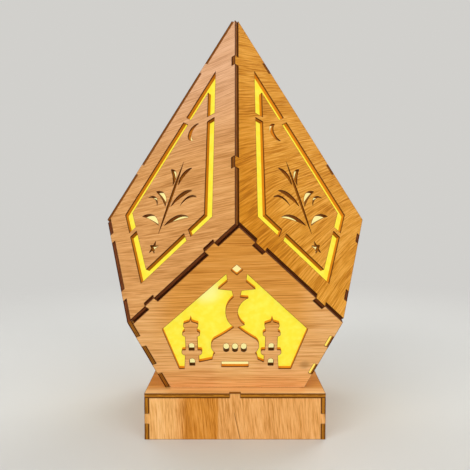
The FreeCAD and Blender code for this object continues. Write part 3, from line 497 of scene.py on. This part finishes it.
# Painted light: the lighter colour and the glow of the edges in the windows, and the glow on the tab ends
LIT_WINDOW_EDGE = (0.500, 0.180, 0.016)
WINDOW_LIGHT = (0.260, 0.075, 0.002)
LEAK_LIGHT = (0.950, 0.720, 0.120)
CHAR = (160.0, 2.0)
PLY_SCALE = 1.4
CORE_START = (0.6, 1.0)
CORE_END = (2.5, 2.1)
PLY_MASK = (0.25, 0.70)
BELT_MASK = (0.30, 0.70)
BELT_FACE = (0.25, 0.45)
BELT_ABOVE = 1.0
BELT_BELOW = -1.0
FLAT_FACE = (0.6, 0.8)
WINDOW_INSET = (7.0, 9.0)
LIT_DEPTH = (0.2, 1.6)
LINTEL_FACE = (-0.85, -0.30, 0.4, 1.0)
TAB_FACE = (0.8, 0.9)
LEAK_DEPTH = (1.4, 1.8)
# How dark the faces' rims are: partly the laser's real scorch, partly painted shade in the gaps between
# panels
BURN_AND_SHADE_RIM_SHARE = 0.75
WOOD_SHEEN = (0.0, 1.0, 0.66, 0.52)
WOOD_GLOSS = 0.05
WOOD_RELIEF = (0.12 * MM, 0.5)


@dataclass
class Windows:
    """How light is painted on the edges in a panel's windows, as a glow and a lighter colour.

    small is the mask of the windows whose edges get little light: dim is their share of the painted light,
    and the next number is how far their edges are painted black, as painted shade. glow is the strength of
    the painted glow. Leaky joints get a painted glow on the tab ends on the left, for the light that leaks
    past them."""

    small: Callable
    dim: float
    painted_shade: float = 0.0
    glow: float = 1.0
    leaky: bool = False


def cut_edge(shade, plane, core, belt):
    """The colour of a panel's burnt edges, and of those along a belt, darker still with painted shade."""
    depth = plane.depth(shade)
    plies = shade.noise(shade.vector(shade.times(depth, PLY_SCALE), shade.noise(shade.place, *CHAR)))
    in_core = shade.times(shade.step(depth, *CORE_START), shade.step(depth, *CORE_END))
    burnt = shade.mix(shade.times(in_core, shade.step(plies, *PLY_MASK)), BURNT, core)
    if belt is None:
        return burnt
    # Painted shade: the edges along the belt are darker than the other burnt edges
    shaded_belt = shade.mix(shade.times(in_core, shade.step(plies, *BELT_MASK)), SHADED_BELT_EDGE, SHADED_BELT_CORE)
    return shade.mix(shade.step(shade.facing(plane.up * belt), *BELT_FACE), burnt, shaded_belt)


def light_windows(shade, plane, windows, edge, on_edge):
    """Paints light and shade on the edges in a panel's windows, and gives the colour of all its edges."""
    depth = plane.depth(shade)
    inside = shade.step(plane.inset(shade), *WINDOW_INSET)
    small = windows.small(shade, plane)
    lit = shade.times(inside, shade.step(depth, *LIT_DEPTH))
    lit = shade.times(lit, shade.step(small, 0.0, 1.0, 1.0, windows.dim))
    lit = shade.times(lit, shade.step(shade.facing(plane.up), *LINTEL_FACE))
    light = shade.mix(shade.times(shade.times(lit, on_edge), windows.glow), BLACK, WINDOW_LIGHT)
    # Painted glow on the tab ends, for light that leaks past them
    if windows.leaky:
        tabs = shade.times(shade.step(shade.facing(-plane.right), *TAB_FACE), shade.step(depth, *LEAK_DEPTH))
        light = shade.mix(shade.times(tabs, shade.less(1.0, inside)), light, LEAK_LIGHT)
    shade.set(Emission_Color=light, Emission_Strength=1.0)
    # The small windows' edges get painted shade, darkened towards black
    return shade.mix(lit, shade.mix(shade.times(small, windows.painted_shade), edge, PAINTED_EDGE_SHADE), LIT_WINDOW_EDGE)


def plywood(name, veneer, core, outwards=None, belt=None, windows=None):
    """A panel of laser-cut plywood: veneer on its faces, burnt edges, and lit edges in its windows.

    A belt above or below is where the panel's edges that face that way lie in the joint and get painted
    shade."""
    shade = Shade(f"{name}_wood")
    plane = Plane(name, outwards)
    colour, height = grain(shade, plane, veneer)
    edge = cut_edge(shade, plane, core, belt)
    on_face = shade.step(shade.size(shade.facing(plane.out)), *FLAT_FACE)
    if windows:
        edge = light_windows(shade, plane, windows, edge, shade.less(1.0, on_face))
    # A dark rim on the faces along their edges: partly real scorch, partly painted shade in the gaps between
    # panels
    rim = shade.times(shade.rim(), BURN_AND_SHADE_RIM_SHARE)
    shade.set(Base_Color=shade.mix(on_face, edge, shade.mix(rim, colour, BURNT)))
    shade.set(Roughness=shade.step(height, *WOOD_SHEEN), Specular_IOR_Level=WOOD_GLOSS)
    shade.bump(height, *WOOD_RELIEF)
    shade.wear(name)


# Translucent sheets
SHEET_BODY = (0.240, 0.200, 0.012)
SHEET_YELLOW = (0.780, 0.640, 0.030)
SHEET_PALE = (0.760, 0.700, 0.070)
SHEET_HOT = (0.780, 0.780, 0.300)
SHEET_CREAM = (0.860, 0.760, 0.340)
SHEET_FIBRES = (260.0, 3.0)
SHEET_CLOUD = (0.35, 0.75)
SHEET_FACE = (0.4, 0.6)
SHEET_INSET = (3.0, 5.0)
SHEET_SHEEN = (0.3, 0.8, 0.45, 0.60)
SHEET_GLOSS = 0.2
SHEET_RELIEF = (0.05 * MM, 0.3)
HOT_SHARE = 0.8


def sheet(name, panel, small, hot=None):
    """The lit translucent sheet behind a panel's windows, paler behind the small ones and over an LED."""
    shade = Shade(f"{name}_sheet")
    plane = Plane(panel)
    fibres = shade.noise(shade.place, *SHEET_FIBRES)
    light = shade.mix(shade.step(fibres, *SHEET_CLOUD), SHEET_YELLOW, SHEET_PALE)
    if hot:
        light = shade.mix(shade.times(spot(shade, plane, *hot), HOT_SHARE), light, SHEET_HOT)
    light = shade.mix(small(shade, plane), light, SHEET_CREAM)
    shown = shade.times(shade.step(shade.facing(plane.out), *SHEET_FACE),
                        shade.step(plane.inset(shade), *SHEET_INSET))
    shade.set(Emission_Color=shade.mix(shown, BLACK, light), Emission_Strength=1.0)
    shade.set(Base_Color=SHEET_BODY, Specular_IOR_Level=SHEET_GLOSS)
    shade.set(Roughness=shade.step(fibres, *SHEET_SHEEN))
    shade.bump(fibres, *SHEET_RELIEF)
    shade.wear(name)


def own_axes(name):
    """A node's longest direction, and the other two directions added up."""
    low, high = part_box(name)
    sides = Vector(high) - Vector(low)
    longest = max(range(3), key=lambda axis: sides[axis])
    length = Vector([float(axis == longest) for axis in range(3)])
    breadth = Vector([float(axis != longest) for axis in range(3)])
    return length, breadth


# Planed softwood
RINGS_ALONG = 0.03
RINGS_ACROSS = 0.9
RINGS_DETAIL = 3.0
RINGS_STOPS = (0.34, 0.50, 0.66)
PLANED_SHEEN = 0.6
PLANED_RELIEF = (0.1 * MM, 0.4)


def plain_wood(name):
    """Planed softwood with its grain along the piece."""
    shade = Shade(f"{name}_wood")
    length, breadth = own_axes(name)
    place = shade.vector(shade.times(shade.along(length), RINGS_ALONG),
                         shade.times(shade.along(breadth), RINGS_ACROSS))
    rings = shade.noise(place, detail=RINGS_DETAIL)
    shade.set(Base_Color=shade.ramp(rings, RINGS_STOPS, PINE), Roughness=PLANED_SHEEN)
    shade.bump(rings, *PLANED_RELIEF)
    shade.wear(name)


# Moulded plastic, new and worn
HOLDER_BLACK = ((0.016, 0.016, 0.018), (0.030, 0.030, 0.032))
SWITCH_BLACK = ((0.012, 0.012, 0.013), (0.026, 0.026, 0.027))
LEAD_RED = ((0.42, 0.012, 0.010), (0.52, 0.022, 0.016))
LEAD_BLACK = ((0.014, 0.014, 0.015), (0.028, 0.028, 0.030))
HOLDER_SHEEN = 0.42
SWITCH_SHEEN = 0.34
LEAD_SHEEN = 0.36
WORN_MATT = 0.15
PLASTIC_SKIN = (3600.0, 2.0)
PLASTIC_PATCH = (70.0, 3.0)
PATCH_TONE = (0.35, 0.75)
PATCH_SHEEN = (0.3, 0.8)
PLASTIC_RELIEF = (0.05 * MM, 0.4)
MARK_WHITE = (0.700, 0.700, 0.670)
MARK_PLACE = 3.1
MARK_LINE = (0.26, 0.156)
MARK_FACE = (0.70, 0.85)
MARK_BAR = (1.70, 1.53)
MARK_RING = 1.44


def moulded(name, tones, roughness, marks=None):
    """Moulded plastic with a fine spark-eroded skin, worn patches and maybe white marks."""
    shade = Shade(f"{name}_plastic")
    patch = shade.noise(shade.place, *PLASTIC_PATCH)
    colour = shade.mix(shade.step(patch, *PATCH_TONE), *tones)
    if marks:
        colour = shade.mix(marks(shade, name), colour, MARK_WHITE)
    shade.set(Base_Color=colour)
    shade.set(Roughness=shade.step(patch, *PATCH_SHEEN, roughness, roughness + WORN_MATT))
    shade.bump(shade.noise(shade.place, *PLASTIC_SKIN), *PLASTIC_RELIEF)
    shade.wear(name)


def on_off(shade, name):
    """1 on a rocker's marks: a bar on the wing that switches on and a ring on the other."""
    low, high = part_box(name)
    aside = shade.along(EAST)
    rise = shade.along(UP, (low[2] + high[2]) / 2)
    bar = shade.times(shade.step(shade.size(shade.less(aside, MARK_PLACE)), *MARK_LINE),
                      shade.step(shade.size(rise), *MARK_BAR))
    reach = shade.reach(shade.add(aside, MARK_PLACE), rise)
    ring = shade.step(shade.size(shade.less(reach, MARK_RING)), *MARK_LINE)
    return shade.times(shade.most(bar, ring), shade.step(shade.facing(NORTH), *MARK_FACE))


# Plated steel
STEEL_DULL = (0.62, 0.60, 0.56)
STEEL_BRIGHT = (0.80, 0.79, 0.76)
STEEL_STAIN = (220.0, 2.0)
STEEL_MARKS = (1400.0, 3.0)
STEEL_SHEEN = (0.3, 0.7, 0.22, 0.40)


def plated(name):
    """Nickel-plated steel with fine drawing marks, for a node or a new piece."""
    shade = Shade(f"{name}_steel")
    stain = shade.noise(shade.place, *STEEL_STAIN)
    marks = shade.noise(shade.place, *STEEL_MARKS)
    shade.set(Base_Color=shade.mix(stain, STEEL_DULL, STEEL_BRIGHT), Metallic=1.0)
    shade.set(Roughness=shade.step(marks, *STEEL_SHEEN))
    return shade


# Circuit boards: the colours of the solder mask, of the tracks under it and of the pads
STRIP_COLOURS = ((0.80, 0.79, 0.74), (0.72, 0.70, 0.63), (0.78, 0.62, 0.40))
FEED_COLOURS = ((0.020, 0.135, 0.045), (0.045, 0.24, 0.085), (0.74, 0.70, 0.60))
STRIP_PITCH = 8.0
FEED_PITCH = 5.0
TRACKS_TO_PITCH = 0.6
TRACK_MASK = (0.1, 0.4)
TRACK_SHARE = 0.7
PAD_MASK = (0.86, 0.93)
PAD_ROW_PITCH = 2.6
PAD_ROW_MASK = (0.2, 0.5)
PAD_METAL = 0.9
BOARD_SHEEN = (0.0, 1.0, 0.42, 0.28)
BOARD_RELIEF = (0.06 * MM, 0.5)


def board(name, colours, pitch):
    """A circuit board: solder mask over faint copper tracks, with tinned pads in rows."""
    shade = Shade(f"{name}_board")
    mask, track, pad = colours
    length, breadth = own_axes(name)
    corner = Vector(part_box(name)[0])
    run = shade.along(length, corner.dot(length))
    lane = shade.along(breadth)
    tracks = shade.step(shade.wave(lane, pitch * TRACKS_TO_PITCH), *TRACK_MASK)
    pads = shade.times(shade.step(shade.wave(run, pitch), *PAD_MASK),
                       shade.step(shade.wave(lane, PAD_ROW_PITCH), *PAD_ROW_MASK))
    colour = shade.mix(shade.times(tracks, TRACK_SHARE), mask, track)
    shade.set(Base_Color=shade.mix(pads, colour, pad), Metallic=shade.times(pads, PAD_METAL))
    shade.set(Roughness=shade.step(pads, *BOARD_SHEEN))
    shade.bump(shade.add(tracks, pads), *BOARD_RELIEF)
    shade.wear(name)


# LEDs and resistors, with two tones each
PHOSPHOR = ((0.78, 0.60, 0.16), (0.86, 0.76, 0.34))
PHOSPHOR_LIGHT = ((1.0, 0.78, 0.28), (1.0, 0.90, 0.52))
PHOSPHOR_GRAIN = (2600.0, 2.0)
PHOSPHOR_SHEEN = 0.4
CHIP_STRENGTH = 1.5
LACQUER = ((0.56, 0.40, 0.22), (0.66, 0.50, 0.30))
LACQUER_BAND = (0.20, 0.055, 0.02)
LACQUER_SPECK = (900.0, 2.0)
LACQUER_SHEEN = 0.35
LACQUER_RELIEF = (0.05 * MM, 0.4)
LACQUER_PITCH = 1.3
LACQUER_MASK = (0.55, 0.75)


def lit_chips(name):
    """LEDs: yellow phosphor, lit."""
    shade = Shade(f"{name}_phosphor")
    grains = shade.noise(shade.place, *PHOSPHOR_GRAIN)
    shade.set(Base_Color=shade.mix(grains, *PHOSPHOR), Roughness=PHOSPHOR_SHEEN)
    shade.set(Emission_Color=shade.mix(grains, *PHOSPHOR_LIGHT), Emission_Strength=CHIP_STRENGTH)
    shade.wear(name)


def resistors(name):
    """Lacquered resistors with colour bands round them."""
    shade = Shade(f"{name}_lacquer")
    low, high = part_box(name)
    across = EAST if high[0] - low[0] < high[1] - low[1] else NORTH
    bands = shade.step(shade.wave(shade.along(across), LACQUER_PITCH), *LACQUER_MASK)
    speck = shade.noise(shade.place, *LACQUER_SPECK)
    colour = shade.mix(bands, shade.mix(speck, *LACQUER), LACQUER_BAND)
    shade.set(Base_Color=colour, Roughness=LACQUER_SHEEN)
    shade.bump(speck, *LACQUER_RELIEF)
    shade.wear(name)


# Dry cells, whose masks lie in from their ends
CELLS = ("battery_cell_1", "battery_cell_2", "battery_cell_3")
JACKET = ((0.020, 0.105, 0.070), (0.035, 0.150, 0.105))
JACKET_RING = (0.70, 0.66, 0.52)
JACKET_SCUFF = (240.0, 4.0)
JACKET_TONE = (0.3, 0.8)
JACKET_SHEEN = (0.3, 0.8, 0.28, 0.42)
CELL_STEEL = (0.66, 0.64, 0.60)
JACKET_RING_START = (8.5, 8.2)
JACKET_RING_END = (6.2, 6.5)
BARE_END = (2.2, 2.0)


def cell(name):
    """A dry cell: a matt green jacket with a pale ring near each end, and bare steel ends."""
    shade = Shade(f"{name}_jacket")
    low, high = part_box(name)
    middle = (low[0] + high[0]) / 2
    from_end = shade.less((high[0] - low[0]) / 2 / MM, shade.size(shade.along(EAST, middle)))
    ring = shade.times(shade.step(from_end, *JACKET_RING_START), shade.step(from_end, *JACKET_RING_END))
    bare = shade.step(from_end, *BARE_END)
    scuff = shade.noise(shade.place, *JACKET_SCUFF)
    jacket = shade.mix(shade.step(scuff, *JACKET_TONE), *JACKET)
    jacket = shade.mix(ring, jacket, JACKET_RING)
    shade.set(Base_Color=shade.mix(bare, jacket, CELL_STEEL), Metallic=bare)
    shade.set(Roughness=shade.step(scuff, *JACKET_SHEEN))
    shade.wear(name)


# Wound springs
COIL_TURNS = 4
COIL_STEPS = 24
COIL_WIRE = 0.4 * MM
COIL_ROUNDNESS = 3
COIL_TIP_SHARE = 0.55
COIL_END_TURNS = 0.8


def coil_points(cell_name, cones):
    """The points of a cone spring's wire, from its wide foot to its tip, in the room of its CAD cone."""
    low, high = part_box(cell_name)
    middle_x = (low[0] + high[0]) / 2
    axis_y = (low[1] + high[1]) / 2
    own = [place for place in cones if low[1] < place.y < high[1]]
    ends = (min(place.x for place in own), max(place.x for place in own))
    tip, foot = sorted(ends, key=lambda x: abs(x - middle_x))
    inwards = math.copysign(COIL_WIRE, tip - foot)
    foot += inwards
    tip -= inwards
    axis_z = (min(place.z for place in own) + max(place.z for place in own)) / 2
    radius = max(place.y for place in own) - axis_y - COIL_WIRE
    count = COIL_TURNS * COIL_STEPS
    points = []
    for number in range(count + 1):
        turns = COIL_TURNS * number / count
        angle = math.tau * turns
        reach = radius * (1 - turns / COIL_TURNS * (1 - COIL_TIP_SHARE))
        climb = (turns - COIL_END_TURNS) / (COIL_TURNS - 2 * COIL_END_TURNS)
        x = foot + (tip - foot) * min(1.0, max(0.0, climb))
        points.append((x, axis_y + reach * math.cos(angle), axis_z + reach * math.sin(angle)))
    return points


def add_springs():
    """The cells' cone springs as wound wire."""
    curve = bpy.data.curves.new("spring_coils", "CURVE")
    curve.dimensions = "3D"
    curve.bevel_depth = COIL_WIRE
    curve.bevel_resolution = COIL_ROUNDNESS
    curve.use_fill_caps = True
    cones = [vertex.co for vertex in NODES["battery_springs"].data.vertices]
    for name in CELLS:
        points = coil_points(name, cones)
        spline = curve.splines.new("POLY")
        spline.points.add(len(points) - 1)
        for point, place in zip(spline.points, points):
            point.co = (*place, 1.0)
    coils = bpy.data.objects.new("spring_coils", curve)
    bpy.context.collection.objects.link(coils)
    curve.materials.append(plated("spring_coils").material)
    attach(coils, "lamp_body")
    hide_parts("battery_springs")


# The kites: two pink ones and two golden ones
UPPER_DIM = 0.4
PINK_WINDOWS = Windows(ornaments, dim=UPPER_DIM, glow=0.45)
GOLDEN_WINDOWS = Windows(ornaments, dim=UPPER_DIM)
UPPER_PANELS = {
    "front_left": (Veneer(PINK_TAN, slope=9.0, seed=21.0, contrast=0.85, dress=rosy_top), PINK_WINDOWS),
    "front_right": (Veneer(GOLDEN, slope=16.0, seed=32.0, drift=10.0, bow=0.0021, dress=ochre_ridge),
                    GOLDEN_WINDOWS),
    "back_right": (Veneer(PINK_TAN, slope=8.0, seed=43.0, contrast=0.85, dress=rosy_top), PINK_WINDOWS),
    "back_left": (Veneer(GOLDEN, slope=14.0, seed=54.0, drift=10.0, bow=0.0018, dress=ochre_ridge),
                  GOLDEN_WINDOWS),
}
for side, (veneer, windows) in UPPER_PANELS.items():
    plywood(f"upper_panel_{side}", veneer, KITE_CORE, belt=BELT_BELOW, windows=windows)
    sheet(f"upper_diffuser_{side}", f"upper_panel_{side}", island)

# The lower panels and the box's walls: a spot is its place aside and up and its radius, a stave its two ends
KNOTS = {"front": (46.5, -39.5, 5.0), "right": None, "back": (-47.0, -31.0, 4.0), "left": None}
STAVES = {"front": (-33.0, -9.0), "right": (11.0, 34.0), "back": (-17.0, 13.0), "left": (-41.0, -22.0)}
CRACKED_WALL = "front"
HOT_SPOT = (-18.0, 16.5, 13.0)
LOWER_WINDOWS = Windows(dark_windows, dim=0.1, painted_shade=0.8, leaky=True)
LOWER_SEED = 71.0
WALL_SEED = 121.0
SEED_STEP = 9.0
for number, side in enumerate(SIDES):
    seed = LOWER_SEED + SEED_STEP * number
    veneer = Veneer(HONEY, slope=1.0, seed=seed, length=1.4, contrast=0.8, dress=amber_brow_lit_foot(KNOTS[side]))
    plywood(f"lower_panel_{side}", veneer, LOWER_CORE, belt=BELT_ABOVE, windows=LOWER_WINDOWS)
    sheet(f"lower_diffuser_{side}", f"lower_panel_{side}", pale_windows, HOT_SPOT)
    dress = staves(*STAVES[side], cracked=side == CRACKED_WALL)
    seed = WALL_SEED + SEED_STEP * number
    veneer = Veneer(STRAW, slope=96.0, seed=seed, length=0.6, drift=4.0, contrast=0.9, dress=dress)
    plywood(f"base_{side}_panel", veneer, BOX_CORE)

# The box's top and floor
TOP_VENEER = Veneer(BLOND, slope=2.0, seed=171.0, length=2.0, dress=shaded_sides)
FLOOR_VENEER = Veneer(PINE, slope=88.0, seed=181.0, length=2.0)
plywood("base_top_panel", TOP_VENEER, BOX_CORE, UP)
plywood("base_floor_door", FLOOR_VENEER, BOX_CORE, -UP)

# The inner pieces
for name in ("led_post", "floor_rail_left_lower", "floor_rail_left_upper",
             "floor_rail_right_lower", "floor_rail_right_upper"):
    plain_wood(name)
moulded("battery_holder", HOLDER_BLACK, HOLDER_SHEEN)
moulded("switch_housing", SWITCH_BLACK, SWITCH_SHEEN)
moulded("switch_rocker", SWITCH_BLACK, SWITCH_SHEEN, on_off)
moulded("lead_cells_to_switch", LEAD_RED, LEAD_SHEEN)
moulded("lead_switch_to_board", LEAD_RED, LEAD_SHEEN)
moulded("lead_board_to_cells", LEAD_BLACK, LEAD_SHEEN)
for name in ("battery_contacts", "holder_screws", "switch_terminals"):
    plated(name).wear(name)
for side in SIDES:
    board(f"led_strip_{side}", STRIP_COLOURS, STRIP_PITCH)
board("led_feed_board", FEED_COLOURS, FEED_PITCH)
lit_chips("led_chips")
resistors("feed_resistors")
for name in CELLS:
    cell(name)
add_springs()


# The studio: a pale floor that curves up into a round wall
FLOOR_RADIUS = 1.3
WALL_BEND = 0.9
WALL_TOP = 2.6
WALL_SIDES = 96
BEND_STEPS = 14
BACKDROP_REACH = (180.0, 750.0)
BACKDROP = (0.640, 0.630, 0.605)
PAPER = ((0.58, 0.585, 0.575), (0.63, 0.635, 0.625))
PAPER_CLOUD = (3.0, 2.0)
PAPER_SHEEN = 0.8
PAPER_GLOSS = 0.0


def paper():
    """Pale matt paper, lit near the object and an even tone further off, where it is seen as background."""
    shade = Shade("studio_paper")
    rays = shade.make("LightPath").outputs
    seen = shade.most(rays["Is Camera Ray"], rays["Is Glossy Ray"])
    seen = shade.most(seen, rays["Is Transmission Ray"])
    reach = shade.reach(shade.along(EAST), shade.along(NORTH))
    far = shade.times(seen, shade.step(reach, *BACKDROP_REACH))
    lit = shade.mix(shade.noise(shade.place, *PAPER_CLOUD), *PAPER)
    shade.set(Base_Color=shade.mix(far, lit, BLACK), Roughness=PAPER_SHEEN, Specular_IOR_Level=PAPER_GLOSS)
    shade.set(Emission_Color=shade.mix(far, BLACK, BACKDROP), Emission_Strength=1.0)
    return shade.material


def studio_profile():
    """The radius and the height of each ring of the studio, from the floor up."""
    profile = [(FLOOR_RADIUS, 0.0)]
    for number in range(1, BEND_STEPS + 1):
        angle = math.pi / 2 * number / BEND_STEPS
        profile.append((FLOOR_RADIUS + WALL_BEND * math.sin(angle), WALL_BEND * (1 - math.cos(angle))))
    profile.append((FLOOR_RADIUS + WALL_BEND, WALL_TOP))
    return profile


def add_studio():
    """The floor and the wall in one mesh."""
    shape = bmesh.new()
    rings = []
    for radius, height in studio_profile():
        ring = []
        for number in range(WALL_SIDES):
            angle = math.tau * number / WALL_SIDES
            ring.append(shape.verts.new((radius * math.cos(angle), radius * math.sin(angle), height)))
        rings.append(ring)
    shape.faces.new(rings[0])
    for lower, upper in zip(rings, rings[1:]):
        for number in range(WALL_SIDES):
            after = (number + 1) % WALL_SIDES
            shape.faces.new((lower[after], lower[number], upper[number], upper[after]))
    mesh = bpy.data.meshes.new("studio")
    shape.to_mesh(mesh)
    shape.free()
    for polygon in mesh.polygons:
        polygon.use_smooth = True
    mesh.materials.append(paper())
    floor = bpy.data.objects.new("studio", mesh)
    bpy.context.collection.objects.link(floor)


# Soft square lights, and an even sky
KEY_WHITE = (1.0, 0.98, 0.95)
FILL_WHITE = (1.0, 0.97, 0.93)
SOFT_LIGHTS = {
    "key": ((-0.9, -1.3, 0.95), 15.5, KEY_WHITE),
    "fill": ((1.0, -1.35, 0.55), 12.0, FILL_WHITE),
    "rear_key": ((0.9, 1.3, 0.95), 14.0, KEY_WHITE),
    "rear_fill": ((-1.0, 1.35, 0.55), 10.0, FILL_WHITE),
}
LIGHT_SIZE = 1.1
LIGHT_AIM = Vector((0.0, 0.0, 0.14))
SKY_STRENGTH = 0.8


def add_light(name, place, watts, colour):
    """A square light that faces the middle of the object."""
    data = bpy.data.lights.new(name, "AREA")
    data.shape = "SQUARE"
    data.size = LIGHT_SIZE
    data.energy = watts
    data.color = colour
    light = bpy.data.objects.new(name, data)
    light.location = place
    light.rotation_euler = (LIGHT_AIM - Vector(place)).to_track_quat("-Z", "Y").to_euler()
    bpy.context.collection.objects.link(light)


def add_sky():
    """A white sky, the same on all sides."""
    world = bpy.data.worlds.new("studio")
    world.use_nodes = True
    background = world.node_tree.nodes["Background"].inputs
    background["Color"].default_value = (*WHITE, 1.0)
    background["Strength"].default_value = SKY_STRENGTH
    bpy.context.scene.world = world


# The camera has the photograph's view: straight from the front, a little above the middle, tipped down
CAMERA_PLACE = (0.0, -0.4144, 0.1541)
CAMERA_TIP = 0.0512
CAMERA_LENS = 41.74
CAMERA_SENSOR = 36.0


def add_camera():
    """The scene's camera, whose tip is in radians and whose lens and sensor are in millimetres."""
    data = bpy.data.cameras.new("camera")
    data.lens = CAMERA_LENS
    data.sensor_width = CAMERA_SENSOR
    camera = bpy.data.objects.new("camera", data)
    camera.location = CAMERA_PLACE
    camera.rotation_euler = (math.pi / 2 - CAMERA_TIP, 0.0, 0.0)
    bpy.context.collection.objects.link(camera)
    bpy.context.scene.camera = camera


add_studio()
for name, (place, watts, colour) in SOFT_LIGHTS.items():
    add_light(name, place, watts, colour)
add_sky()
add_camera()
bpy.context.scene.view_settings.view_transform = "Standard"
